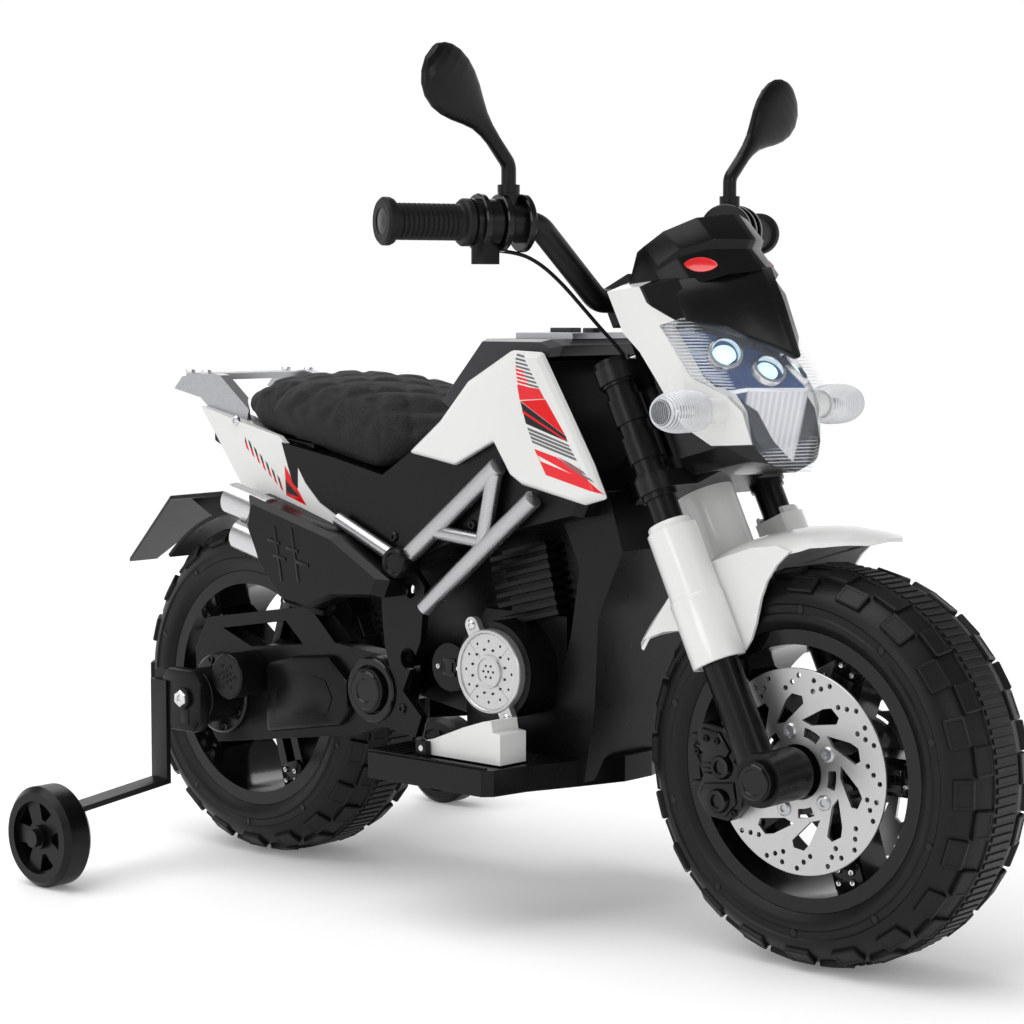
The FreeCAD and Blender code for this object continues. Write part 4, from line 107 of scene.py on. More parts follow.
class Look:
    """One finish: a principled shader with what varies over the surface."""

    def __init__(self, name, **constants):
        self.material = bpy.data.materials.new(name)
        self.material.use_nodes = True
        self.tree = self.material.node_tree
        self.shader = self.tree.nodes["Principled BSDF"]
        self.feed(**constants)
        self.place = self.node("ShaderNodeTexCoord", {}).out("Object")

    def give(self, socket, value):
        """Link a flow to a socket, or set the socket's own value."""
        if isinstance(value, Flow):
            self.tree.links.new(value.socket, socket)
        else:
            socket.default_value = value

    def node(self, kind, settings, *inputs, **named):
        made = self.tree.nodes.new(kind)
        for key, value in settings.items():
            setattr(made, key, value)
        for key, value in list(enumerate(inputs)) + list(named.items()):
            self.give(made.inputs[key], value)
        return Flow(self, made.outputs[0])

    def feed(self, **inputs):
        for key, value in inputs.items():
            self.give(self.shader.inputs[key.replace("_", " ")], value)
        return self

    def noise(self, scale, detail=4.0):
        return self.node("ShaderNodeTexNoise", {}, Vector=self.place, Scale=scale, Detail=detail)

    def axis(self, name):
        return self.node("ShaderNodeSeparateXYZ", {}, self.place).out(name)

    def blend(self, mask, below, above):
        mixer = self.node("ShaderNodeMix", {"data_type": "RGBA"}).socket.node
        for index, value in ((MIX_SHARE, mask), (MIX_BELOW, below), (MIX_ABOVE, above)):
            self.give(mixer.inputs[index], value)
        return Flow(self, mixer.outputs[MIX_OUT])

    def bump(self, height, strength, depth):
        self.feed(Normal=self.node("ShaderNodeBump", {}, Strength=strength, Distance=depth, Height=height))
        return self

    def step(self, flow, edge, width):
        """0 below an edge and 1 above it, with a short ramp between."""
        return self.node("ShaderNodeMapRange", {"clamp": True}, flow, edge - width, edge + width, 0.0, 1.0)

    def band(self, flow, low, high, width):
        return self.step(flow, low, width) - self.step(flow, high, width)

    def plan(self):
        """Forward and up, in millimetres, for marks laid on the bike's sides."""
        return self.axis("X") * 1000, self.axis("Z") * 1000

    def leaned(self):
        """Forward, left and up in the leaning fork frame, in millimetres from the front axle."""
        part = self.node("ShaderNodeSeparateXYZ", {}, self.place)
        x = (part.out("X") - FRONT.x) * 1000
        z = (part.out("Z") - FRONT.z) * 1000
        forward = x * math.cos(RAKE) + z * math.sin(RAKE)
        return forward, part.out("Y") * 1000, z * math.cos(RAKE) - x * math.sin(RAKE)

    def within(self, u, v, corners, soft=0.25):
        """1 inside an outline without hollows, whose corners run clockwise in u and v, and 0 outside."""
        nearest = None
        for (u0, v0), (u1, v1) in zip(corners, corners[1:] + corners[:1]):
            run = math.hypot(u1 - u0, v1 - v0)
            a, b = (v1 - v0) / run, (u0 - u1) / run
            depth = u * a + v * b - (u0 * a + v0 * b)
            nearest = depth if nearest is None else nearest.math("MINIMUM", depth)
        return self.step(nearest, 0.0, soft)

    def stripes(self, flow, pitch, share):
        """Bars of a share of each pitch along a flow."""
        return self.step(share - (flow / pitch).math("FRACT"), 0.0, 0.04)


def grey(value):
    return (value, value, value, 1)


def moulded(name, colour, rough, grain=900, depth=0.25, tint=0.35, **constants):
    """Moulded plastic: a fine grain, and a faint drift of shade and gloss."""
    look = Look(name, **constants)
    drift = look.noise(9, 3)
    darker = tuple(channel * (1 - tint) for channel in colour[:3]) + (1,)
    look.feed(Base_Color=look.blend(drift, darker, colour))
    look.feed(Roughness=rough + (look.noise(60, 5) - 0.5) * 0.12)
    return look.bump(look.noise(grain, 3), depth, 0.0004) if depth else look


def metal(name, colour, rough, stretch):
    """Brushed metal: fine scratches drawn out along one way."""
    look = Look(name, Metallic=1.0)
    drawn = look.node("ShaderNodeMapping", {}, look.place, Scale=stretch)
    scratch = look.node("ShaderNodeTexNoise", {}, Vector=drawn, Scale=420, Detail=4)
    look.feed(Base_Color=look.blend(scratch, tuple(c * 0.72 for c in colour[:3]) + (1,), colour))
    look.feed(Roughness=rough + (scratch - 0.5) * 0.2)
    return look.bump(scratch, 0.12, 0.0003)


RED, DEEP_RED = (0.68, 0.002, 0.004, 1), (0.70, 0.02, 0.028, 1)
INK, ASH, PAPER = (0.008, 0.008, 0.009, 1), (0.13, 0.13, 0.135, 1), (0.70, 0.70, 0.69, 1)
black = moulded("satin_black", (0.004, 0.004, 0.0046, 1), 0.29, Specular_IOR_Level=0.2)
gloss_black = moulded("gloss_black", grey(0.0035), 0.16, 300, 0.05, Specular_IOR_Level=0.3)
white = moulded("gloss_white", PAPER, 0.2, 260, 0.05, 0.03, Coat_Weight=0.2, Coat_Roughness=0.06)
tank_grey = moulded("tank_grey", (0.03, 0.031, 0.034, 1), 0.24, 300, 0.05, 0.2, Specular_IOR_Level=0.32)
silver = moulded("silver_paint", (0.50, 0.51, 0.53, 1), 0.3, depth=0, tint=0.12, Metallic=0.8)
tyre_black = moulded("tyre_black", grey(0.005), 0.4, 700, 0.3, Specular_IOR_Level=0.22)
rubber = moulded("grip_rubber", grey(0.005), 0.5, 1200, 0.4, Specular_IOR_Level=0.22)
steel = metal("brushed_steel", (0.6, 0.6, 0.61, 1), 0.3, (1, 12, 1))
chrome = metal("bright_chrome", (0.78, 0.78, 0.79, 1), 0.14, (1, 3, 1))
black_steel = moulded("powder_black", grey(0.0045), 0.3, 1500, 0.3, Specular_IOR_Level=0.26)
nylon = moulded("nylon", (0.74, 0.72, 0.66, 1), 0.5)
red_plug = moulded("red_plug", (0.55, 0.02, 0.02, 1), 0.4)
badge_red = moulded("badge_red", (0.68, 0.012, 0.016, 1), 0.2, 260, 0.05, 0.1, Coat_Weight=0.4)


def marked_white(name, marks):
    """Gloss white with marks: each an outline, a colour and, if barred, a slope, a pitch and a share."""
    look = Look(name, Coat_Weight=0.05, Coat_Roughness=0.06, Specular_IOR_Level=0.25)
    x, z = look.plan()
    colour = look.blend(look.noise(9, 3), (0.68, 0.68, 0.67, 1), PAPER)
    for outline, tint, bars in marks:
        mask = look.within(x, z, list(outline))
        if bars:
            slope, pitch, share = bars
            mask = mask * look.stripes(x * slope[0] + z * slope[1], pitch, share)
        colour = look.blend(mask, colour, tint)
    look.feed(Base_Color=colour, Roughness=0.2 + (look.noise(60, 5) - 0.5) * 0.1)
    return look.bump(look.noise(260, 3), 0.05, 0.0004)


tank_white = marked_white("tank_white", (
    (((90.9, 484.7), (98.7, 484.8), (123.3, 448.5), (96.5, 446.6)), ASH, ((0.18, 1), 3.1, 0.55)),
    (((91.6, 474), (100, 471), (112, 447.8), (96.5, 446.6)), DEEP_RED, ((0.18, 1), 3.1, 0.62)),
    (((93.7, 458.1), (118.1, 455.9), (124.1, 447.7), (96.5, 446.1)), DEEP_RED, None),
    (((97.1, 445.4), (124.9, 447.4), (147.2, 417.9)), RED, None),
    (((97.1, 445.1), (147.2, 417.9), (149.1, 413.3), (103.5, 426.7)), INK, None),
    (((98.7, 438.3), (147.2, 415.3), (148.0, 413.7), (99.9, 435.5)), RED, None),
    (((104.6, 424.4), (150.2, 411), (160, 397), (110.6, 411.4)), ASH, ((0.27, 1), 3.0, 0.72)),
    (((112.6, 406.4), (136.4, 400.6), (162.0, 391.0), (182.8, 372.2), (125.5, 385.3)), DEEP_RED, None),
    (((116.5, 401), (151.5, 388), (119.5, 396.5)), PAPER, None),
    (((138, 401), (163, 392.5), (177, 380), (148, 394)), ASH, ((0.45, 1), 2.6, 0.7)),
))
tail_white = marked_white("tail_white", (
    (((-262, 403.4), (-207.5, 364.7), (-201.5, 352.5), (-262, 393.7)), INK, ((1, 0.47), 5.8, 0.5)),
    (((-262, 398.2), (-204.7, 358.4), (-201.5, 352.5), (-262, 393.7)), RED, ((1, 0.47), 5.8, 0.5)),
    (((-202.6, 378.9), (-170.6, 343.5), (-200.5, 351.3)), RED, None),
    (((-201.4, 365.5), (-180, 350.2), (-200, 353.6)), INK, None),
))


def fluted_lens():
    """Clear lens whose edges carry fine moulded flutes."""
    look = Look("fluted_lens", Coat_Weight=0.7, Coat_Roughness=0.03)
    forward, left, up = look.leaned()
    edge = look.step(left.math("ABSOLUTE"), 61, 2.0).math("MAXIMUM", 1.0 - look.step(up, 243, 2.0))
    bars = look.stripes(up + forward * 0.45, 3.0, 0.34) * edge
    look.feed(Base_Color=look.blend(bars, (0.70, 0.78, 0.9, 1), (0.9, 0.93, 0.97, 1)))
    look.feed(Alpha=0.05 + bars * 0.26, Roughness=0.04 + look.noise(90, 3) * 0.04)
    return look.bump(bars, 0.4, 0.0005)


def lamp_bowl():
    """Behind the lens: dark blue above, and a pale fluted reflector below a V-shaped step, with a painted
    highlight along the step.
    """
    look = Look("lamp_bowl")
    forward, left, up = look.leaned()
    side = left.math("ABSOLUTE")
    vee = up - side * 0.30
    low = 1.0 - look.step(vee, 281, 0.6)
    inner = 1.0 - look.step(side, 41, 0.8)
    pale = low * inner
    flute = look.stripes(left, 4.2, 0.5)
    ribs = look.stripes(up + forward * 0.5, 2.6, 0.4)
    ribs = ribs * (1.0 - look.step(inner, 0.5, 0.1)) * look.step(side, 47, 1.0)
    blue = look.blend(look.noise(26, 3), (0.004, 0.012, 0.05, 1), (0.02, 0.07, 0.26, 1))
    shine = look.blend(flute, (0.56, 0.57, 0.60, 1), (0.70, 0.70, 0.72, 1))
    colour = look.blend(pale, blue, shine)
    colour = look.blend(ribs, colour, (0.66, 0.72, 0.82, 1))
    # A thin pale line along the V-shaped step: a painted highlight where the step's edge catches light.
    painted_step_highlight = look.band(vee, 279.5, 282.5, 0.4)
    look.feed(Base_Color=look.blend(painted_step_highlight, colour, (0.85, 0.87, 0.9, 1)))
    look.feed(Metallic=pale * 0.35 + ribs * 0.3, Roughness=0.2 + look.noise(70, 3) * 0.1)
    return look.bump(flute * pale + ribs, 0.6, 0.0008)


def two_tone(name, below, above, outline, inmost):
    """One colour with another laid over an outline in the leaning frame, beyond a place across."""
    look = Look(name, Coat_Weight=0.1, Coat_Roughness=0.08, Specular_IOR_Level=0.3)
    forward, left, up = look.leaned()
    mask = look.within(forward, up, outline) * look.step(left.math("ABSOLUTE"), inmost, 0.3)
    look.feed(Base_Color=look.blend(mask, below, above), Roughness=0.26 + (look.noise(60, 5) - 0.5) * 0.1)
    return look.bump(look.noise(300, 3), 0.05, 0.0004)


def glow():
    """Cold light, a little uneven."""
    look = Look("lamp_glow", Emission_Strength=1.0)
    spot = look.noise(55, 3)
    look.feed(Base_Color=look.blend(spot, (0.3, 0.45, 0.5, 1), grey(0.6)),
              Emission_Color=look.blend(spot, (0.3, 0.62, 0.8, 1), (0.75, 0.95, 1, 1)))
    look.feed(Roughness=0.12 + spot * 0.08)
    return look


def ribbed_clear():
    """Clear barrel with a silvered inside that shows between its ribs."""
    look = Look("ribbed_clear", Coat_Weight=0.7, Coat_Roughness=0.04)
    ribs = look.stripes(look.axis("Y") * 1000, 2.6, 0.5)
    look.feed(Base_Color=look.blend(ribs, (0.34, 0.36, 0.39, 1), (0.74, 0.76, 0.79, 1)))
    look.feed(Alpha=0.24 + ribs * 0.4, Roughness=0.08 + look.noise(60, 3) * 0.06)
    return look.bump(ribs, 0.5, 0.0006)


def brushed_round(name, centre, shades, rough, fine, metallic=1.0, swing=0.2, relief=0.12):
    """Metal brushed round a centre on the bike's side."""
    look = Look(name, Metallic=metallic)
    x, z = look.plan()
    x, z = x - centre[0], z - centre[1]
    radius = (x * x + z * z).math("SQRT")
    rings = look.node("ShaderNodeCombineXYZ", {}, radius * fine, 0.0, 0.0)
    scratch = look.node("ShaderNodeTexNoise", {}, Vector=rings, Scale=1.0, Detail=5)
    look.feed(Base_Color=look.blend(scratch, grey(shades[0]), grey(shades[1])))
    look.feed(Roughness=rough + (scratch - 0.5) * swing)
    return look.bump(scratch, relief, 0.0003)


lens_clear = fluted_lens()
signal_clear = ribbed_clear()
mirror_silver = metal("mirror_silver", (0.86, 0.87, 0.88, 1), 0.04, (1, 1, 1))
lamp_glow = glow()
LOOKS = {
    "black_plastic": black, "white_plastic": white, "grey_plastic": tank_grey, "silver_plastic": silver,
    "tyre_plastic": tyre_black, "steel": steel, "black_steel": black_steel, "bright_tip": chrome,
    "grip_rubber": rubber, "lead_black": rubber, "gear_plastic": nylon, "battery_case": black,
    "lens_clear": lens_clear, "signal_clear": signal_clear, "mirror_glass": mirror_silver,
    "lamp_glow": lamp_glow,
}
NODE_LOOKS = {
    "front_axle": black, "pivot_shaft": black, "rear_axle": black, "front_rim": gloss_black,
    "rear_rim": gloss_black, "tank_covers": tank_white, "tail_panels": tail_white,
    "brake_discs": brushed_round("disc_steel", FRONT_HUB, (0.44, 0.62), 0.4, 1.8),
    "clutch_cover": brushed_round("clutch_silver", CLUTCH, (0.4836, 0.62), 0.34, 1.6, 0.85, 0.16, 0.1),
    "trellis_tubes": moulded("tube_silver", (0.46, 0.46, 0.47, 1), 0.28, depth=0, tint=0.08, Metallic=0.95),
    "headlight_housing": two_tone("housing_sides", grey(0.0045), PAPER, [
        (34, 302), (160, 302), (160, 250), (68, 250), (40, 262), (34, 280)], 46),
    "headlight_cowls": two_tone("cowl_sides", PAPER, grey(0.0045), [
        (39, 430), (160, 430), (160, 340), (75, 352), (58, 362), (43, 386)], 0),
    "silencer_tips": metal("tip_silver", (0.68, 0.68, 0.69, 1), 0.24, (1, 9, 9)),
    "rear_rack": metal("rack_silver", (0.50, 0.51, 0.53, 1), 0.3, (1, 9, 2)),
}


# Building
def placed(name, data):
    """A new object of the scene."""
    item = bpy.data.objects.new(name, data)
    bpy.context.scene.collection.objects.link(item)
    return item


def mesh_of(name, bm):
    """Turn a bmesh into a mesh."""
    mesh = bpy.data.meshes.new(name)
    bm.to_mesh(mesh)
    bm.free()
    return mesh


def new_piece(name, bm, look, body="chassis", smooth=35):
    """Turn a bmesh into a named piece that rides on a body."""
    mesh = mesh_of(name, bm)
    piece = placed(name, mesh)
    mesh.materials.append(look.material)
    mesh.shade_smooth()
    if smooth:
        mesh.set_sharp_from_angle(angle=math.radians(smooth))
    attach(piece, body)
    return piece


def wire(name, points, radius, look, body, round_steps, along_steps, capped=False):
    """A round wire along a list of points, as a piece that rides on a body."""
    curve = bpy.data.curves.new(name, "CURVE")
    curve.dimensions = "3D"
    line = curve.splines.new("NURBS")
    line.points.add(len(points) - 1)
    for point, place in zip(line.points, points):
        point.co = (*place, 1)
    line.order_u = 3
    line.use_endpoint_u = True
    curve.bevel_depth = radius
    curve.bevel_resolution = round_steps
    curve.resolution_u = along_steps
    curve.use_fill_caps = capped
    curve.materials.append(look.material)
    piece = placed(name, curve)
    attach(piece, body)
    return piece


def eased(bm, edges, width, segments=2):
    """Round off edges."""
    bmesh.ops.bevel(bm, geom=edges, offset=width, segments=segments, profile=0.5, affect="EDGES",
                    material=-1)


def face_out(bm):
    bmesh.ops.recalc_face_normals(bm, faces=bm.faces)


def aimed(bm, centre, axis):
    """Turn a form's own Z to an axis and move the form to its place."""
    turn = axis.to_track_quat("Z", "X").to_matrix()
    bmesh.ops.rotate(bm, cent=(0, 0, 0), matrix=turn, verts=bm.verts)
    bmesh.ops.translate(bm, vec=centre, verts=bm.verts)


def body_of(node):
    return next(body for body, members in frame["record"]["behaviour"]["bodies"].items() if node in members)


def node_form(node):
    """A node's mesh as a bmesh, with its doubled corners merged."""
    bm = bmesh.new()
    bm.from_mesh(nodes[node].data)
    bmesh.ops.remove_doubles(bm, verts=bm.verts, dist=2e-5)
    return bm


def softened(node, width, look):
    """A copy of a solid with rounded edges, as a mould leaves them."""
    sharp = math.radians(28)
    bm = node_form(node)
    bmesh.ops.dissolve_limit(bm, angle_limit=math.radians(1.5), verts=bm.verts, edges=bm.edges)
    piece = new_piece(node + "_dressed", bm, look, body_of(node), smooth=0)
    edge = piece.modifiers.new("edge", "BEVEL")
    edge.width = width
    edge.segments = 3
    edge.limit_method = "ANGLE"
    edge.angle_limit = sharp
    edge.harden_normals = True
    edge.use_clamp_overlap = True
    piece.data.set_sharp_from_angle(angle=sharp)
    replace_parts(piece, node)


def camera_and_stage():
    """The photograph's camera, a pale floor and studio light."""
    lens = bpy.data.cameras.new("photo_camera")
    lens.lens = 88.03
    lens.sensor_width = 36
    lens.clip_end = 50
    camera = placed("photo_camera", lens)
    turn, drop = math.radians(42.16), math.radians(4.75)
    ahead = Vector((-math.sin(turn) * math.cos(drop), math.cos(turn) * math.cos(drop), -math.sin(drop)))
    camera.location = (1.48204, -1.63552, 0.52532)
    camera.rotation_euler = ahead.to_track_quat("-Z", "Y").to_euler()
    bpy.context.scene.camera = camera

    bm = bmesh.new()
    bmesh.ops.create_grid(bm, x_segments=2, y_segments=2, size=30)
    mesh = mesh_of("floor", bm)
    floor = placed("floor", mesh)
    pale = Look("pale_floor", Roughness=0.6, Emission_Color=(1, 1, 1, 1), Emission_Strength=0.15)
    pale.feed(Base_Color=pale.blend(pale.noise(2), grey(0.9), grey(0.92)))
    mesh.materials.append(pale.material)

    # A white sweep round the horizon and a dimmer ceiling, so dark finishes keep their depth.
    world = bpy.data.worlds.new("studio")
    world.use_nodes = True
    tree = world.node_tree
    back = tree.nodes["Background"]
    split = tree.nodes.new("ShaderNodeSeparateXYZ")
    tree.links.new(tree.nodes.new("ShaderNodeTexCoord").outputs["Generated"], split.inputs[0])
    ceiling = tree.nodes.new("ShaderNodeMapRange")
    for socket, value in zip(ceiling.inputs[1:5], (0.16, 0.5, 1.02, 0.26)):
        socket.default_value = value
    tree.links.new(split.outputs["Z"], ceiling.inputs[0])
    tree.links.new(ceiling.outputs[0], back.inputs["Strength"])
    back.inputs["Color"].default_value = (1, 1, 1, 1)
    bpy.context.scene.world = world
    bpy.context.scene.view_settings.view_transform = "Standard"
    sun = bpy.data.lights.new("overhead", "SUN")
    sun.energy = 2.1
    sun.angle = math.radians(60)
    lights = [("overhead", sun, (-0.5, -0.7, 2.6))]
    areas = (("side", (0.2, -3.0, 1.5), 1.2, 14), ("nose", (3.0, -0.6, 1.6), 0.9, 9),
             ("back", (-2.2, 1.6, 2.2), 1.6, 14))
    for name, place, size, power in areas:
        light = bpy.data.lights.new(name, "AREA")
        light.size = size
        light.energy = power
        lights.append((name, light, place))
    for name, light, place in lights:
        lamp = placed(name, light)
        lamp.location = place
        lamp.rotation_euler = (Vector((0, 0, 0.3)) - Vector(place)).to_track_quat("-Z", "Y").to_euler()


def throttle_lead():
    """The thin lead from the control housing down to the crown, along the same points as in part.py."""
    route = ((-23.3, -156.3, 464.2), (-19, -136, 461), (-20, -112, 452), (-26, -86, 437), (-31, -64, 417),
             (-33, -47, 397), (-32, -36, 381), (-31, -32, 368.6))
    lead = wire("throttle_lead_line", [lean(*place) for place in route], 0.0016, rubber, "steering", 4, 12)
    bm = bmesh.new()
    top, foot = lean(*route[-1]), lean(route[-1][0], route[-1][1], route[-1][2] - 12)
    bmesh.ops.create_cone(bm, cap_ends=True, segments=24, radius1=0.004, radius2=0.004, depth=0.012)
    eased(bm, bm.edges[:], 0.0008)
    aimed(bm, (top + foot) / 2, foot - top)
    plug = new_piece("lead_plug", bm, red_plug, "steering")
    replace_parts(lead, "throttle_lead")
    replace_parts(plug, "throttle_lead")
    tuple(lean(*route[0]))


def turned(profile, centre, axis, steps):
    """A closed round form: (radius, along) pairs, in millimetres, spun about an axis."""
    bm = bmesh.new()
    points = [bm.verts.new((radius / 1000, 0, along / 1000)) for radius, along in profile]
    edges = [bm.edges.new(pair) for pair in zip(points, points[1:])]
    bmesh.ops.spin(bm, geom=points + edges, cent=(0, 0, 0), axis=(0, 0, 1), angle=2 * math.pi, steps=steps,
                   use_merge=True)
    bmesh.ops.remove_doubles(bm, verts=bm.verts, dist=1e-6)
    face_out(bm)
    aimed(bm, centre, axis)
    return bm


def block(bm, size, place, ease):
    """A small block with eased edges, set into a larger form."""
    matrix = Matrix.Translation(place) @ Matrix.Diagonal((*size, 1))
    made = bmesh.ops.create_cube(bm, size=1, matrix=matrix)["verts"]
    eased(bm, list({edge for vert in made for edge in vert.link_edges}), ease)


def joined(bm, other):
    """Add one bmesh to another."""
    mesh = mesh_of("joined", other)
    bm.from_mesh(mesh)
    bpy.data.meshes.remove(mesh)


def both_sides(bm):
    """Repeat what stands on the right on the left."""
    bmesh.ops.mirror(bm, geom=bm.verts[:] + bm.edges[:] + bm.faces[:], merge_dist=-1, axis="Y")
    face_out(bm)


def raised(bm, faces, move):
    """Extrude faces by a move, and give back the corners that moved."""
    grown = bmesh.ops.extrude_face_region(bm, geom=faces)["geom"]
    top = [item for item in grown if isinstance(item, bmesh.types.BMVert)]
    bmesh.ops.translate(bm, vec=move, verts=top)
    return top


def plate(bm, corners, y, thick, ease=0.6):
    """A plate with eased edges: a side outline in millimetres, from y outward to the right."""
    face = bm.faces.new([bm.verts.new((x / 1000, -y / 1000, z / 1000)) for x, z in corners])
    top = raised(bm, [face], (0, -thick / 1000, 0))
    faces = list({near for vert in top + list(face.verts) for near in vert.link_faces})
    bmesh.ops.recalc_face_normals(bm, faces=faces)
    eased(bm, list({edge for vert in top for edge in vert.link_edges}), ease / 1000)


def rounds(profile, places, steps):
    """The same turned form at several places, each with the way it faces."""
    bm = bmesh.new()
    for at, way in places:
        joined(bm, turned(profile, Vector(at), Vector(way).normalized(), steps))
    return bm


def screw_profile(radius):
    """A pan head with a sunk round drive, in millimetres from the face it sits on."""
    return [(0, 0.7), (radius * 0.38, 0.7), (radius * 0.44, 2.1), (radius * 0.78, 2.3), (radius, 1.1),
            (radius, -1.2), (0, -1.2)]


def dot_profile(radius):
    """A shallow round well with a raised lip, in millimetres."""
    return [(0, 0.1), (radius * 0.8, 0.1), (radius * 0.88, 0.7), (radius, 0.7), (radius, -0.8), (0, -0.8)]


def side_places(points, y, both=True):
    """Places on the right side, and on the left too, from x and z in millimetres."""
    places = []
    for x, z in points:
        for way in ((-1, 1) if both else (-1,)):
            places.append(((x / 1000, way * y / 1000, z / 1000), (0, way, 0)))
    return places


def about(centre, radius, count, start=0.0):
    """Points on a circle seen from the side, in millimetres."""
    turns = [start + 2 * math.pi * index / count for index in range(count)]
    return [(centre[0] + radius * math.cos(turn), centre[1] + radius * math.sin(turn)) for turn in turns]


def spun(middle, turn, points):
    """Points given outward and along, turned about a middle seen from the side, in millimetres."""
    out, along = Vector((math.cos(turn), math.sin(turn))), Vector((-math.sin(turn), math.cos(turn)))
    return [tuple(Vector(middle) + out * u + along * v) for u, v in points]


def tyre(name, centre, body):
    """Barred centre band, two staggered rows of blocks a side, and a stepped sidewall with wells."""
    side = [(112.5, 46), (118, 50.5), (121.5, 52.2), (124.5, 52.2), (125.8, 50.8), (131.5, 50.8),
            (133, 52.2), (137, 51.2), (142.5, 47.4), (147.5, 41.8), (151.5, 35), (154.5, 27.2),
            (156.2, 19.2), (156.6, 17.2), (158.2, 16.8)]
    loop = side + [(r, -y) for r, y in reversed(side)]
    bm = turned(loop + loop[:1], centre, Y, 128)
    blocks = 40
    for way in (-1, 1):
        for index in range(blocks):
            turn = 2 * math.pi * (index + (0.5 if way > 0 else 0)) / blocks
            spin = Matrix.Translation(centre) @ Matrix.Rotation(turn, 4, "Y")
            if index % 2:
                at, slope, across = (0.1545, 0.0268), 15, 0.0172
            else:
                at, slope, across = (0.1468, 0.0428), 43, 0.0165
            tilt = Matrix.Rotation(way * math.radians(slope), 4, "Z")
            place = spin @ Matrix.Translation((at[0], way * at[1], 0)) @ tilt
            rubber_block(bm, place, (0.0066, across, 0.0235))
    bars = 132
    for index in range(bars):
        spin = Matrix.Translation(centre) @ Matrix.Rotation(2 * math.pi * index / bars, 4, "Y")
        rubber_block(bm, spin @ Matrix.Translation((0.1578, 0, 0)), (0.0034, 0.0285, 0.0046), 0.0005)
    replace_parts(new_piece(name + "_tread", bm, tyre_black, body), name)
    wells = []
    for way in (-1, 1):
        for x, z in about((0, 0), 0.1287, 10, 0.3):
            wells.append((centre + Vector((x, way * 0.0508, z)), (0, way, 0)))
    new_piece(name + "_wells", rounds(dot_profile(3.6), wells, 14), gloss_black, body)


def rubber_block(bm, matrix, size, ease=0.0011):
    """A tread block with eased edges and, if it is a large one, a sunk field on its outer face."""
    made = bmesh.ops.create_cube(bm, size=1, matrix=matrix @ Matrix.Diagonal((*size, 1)))["verts"]
    outward = (matrix.to_3x3() @ X).normalized()
    top = max({face for vert in made for face in vert.link_faces},
              key=lambda face: face.normal.dot(outward))
    eased(bm, list({edge for vert in top.verts for edge in vert.link_edges}), ease, 1)
    if size[2] > 0.01:
        centre = matrix @ Vector((size[0] / 2, 0, 0))
        top = min((face for face in bm.faces[-40:] if face.normal.dot(outward) > 0.99),
                  key=lambda face: (face.calc_center_median() - centre).length)
        bmesh.ops.inset_region(bm, faces=[top], thickness=0.0018, use_even_offset=True)
        bmesh.ops.inset_region(bm, faces=[top], thickness=0.0004, depth=-0.0005, use_even_offset=True)


def grip(name, node, way, body):
    """Grooved rubber with a flange at each end."""
    end = lean(-28, 0, 422) + Vector((-0.05, way * 0.243, 0.062))
    inward = Vector((50, -way * 121, 0)).normalized()
    start = end - inward * 0.0045
    profile = [(10.1, 4.6), (10.5, 0), (17.2, 0), (19, 1.8), (19, 6.2), (17.8, 8.8), (14.6, 9.6)]
    along = 10.5
    while along < 64:
        profile += [(14.6, along), (14.6, along + 2.2), (13.6, along + 2.8), (13.6, along + 3.6)]
        along += 4.2
    profile += [(14.6, 66.8), (17.6, 68), (19, 69.8), (19, 74.2), (17.8, 75.9), (10.1, 75.9)]
    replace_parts(new_piece(name, turned(profile, start, inward, 48), rubber, body, 30), node)
    cap = [(0, 0.4), (4, 0.2), (4.8, 0.4), (10.5, 0.6), (10.8, 2), (0, 2.2)]
    new_piece(name + "_cap", turned(cap, start, inward, 32), gloss_black, body, 30)


def coils():
    """A wound spring on each damper."""
    foot = REAR + Vector((0.184 * 0.64, 0, (0.93 * 140 - 48) / 1000))
    way = Vector((0.42, 0, 0.91)).normalized()
    quat = way.to_track_quat("Z", "X")
    radius, length, turns, steps = 0.0108, 0.045, 5, 16
    for name, side in (("right", -1), ("left", 1)):
        base = foot + Y * side * 0.071 + way * 0.01325
        points = []
        for index in range(turns * steps + 1):
            turn = 2 * math.pi * index / steps
            up = length * index / (turns * steps)
            points.append(base + quat @ Vector((radius * math.cos(turn), radius * math.sin(turn), up)))
        spring = wire("spring_" + name, points, 0.00125, black_steel, "chassis", 3, 3, capped=True)
        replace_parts(spring, "shock_springs")


def quilted_fabric():
    """Dark mesh cloth: a hexagon-like weave with soft sheen, its sunk cells painted darker than their raised
    borders as painted shade.
    """
    look = Look("quilted_mesh", Sheen_Weight=0.04, Sheen_Roughness=0.5, Specular_IOR_Level=0.2)
    cells = look.node("ShaderNodeTexVoronoi", {"feature": "DISTANCE_TO_EDGE"}, Vector=look.place, Scale=420)
    weave = look.step(cells, 0.16, 0.1)
    drift = look.noise(16, 4)
    dark = look.blend(drift, grey(0.0035), grey(0.008))
    # The sunk cells take a darker colour than their raised borders: painted shade in the hollows of the
    # weave.
    look.feed(Base_Color=look.blend(weave, grey(0.02), dark))
    look.feed(Roughness=0.78 - weave * 0.12)
    return look.bump(weave * -1.0 + look.noise(260, 3) * 0.5, 0.5, 0.0006)


def shrunk(bm, middle, shares):
    """Draw a form in towards a middle."""
    matrix = Matrix.Translation(middle) @ Matrix.Diagonal((*shares, 1)) @ Matrix.Translation(-middle)
    bmesh.ops.transform(bm, matrix=matrix, verts=bm.verts)


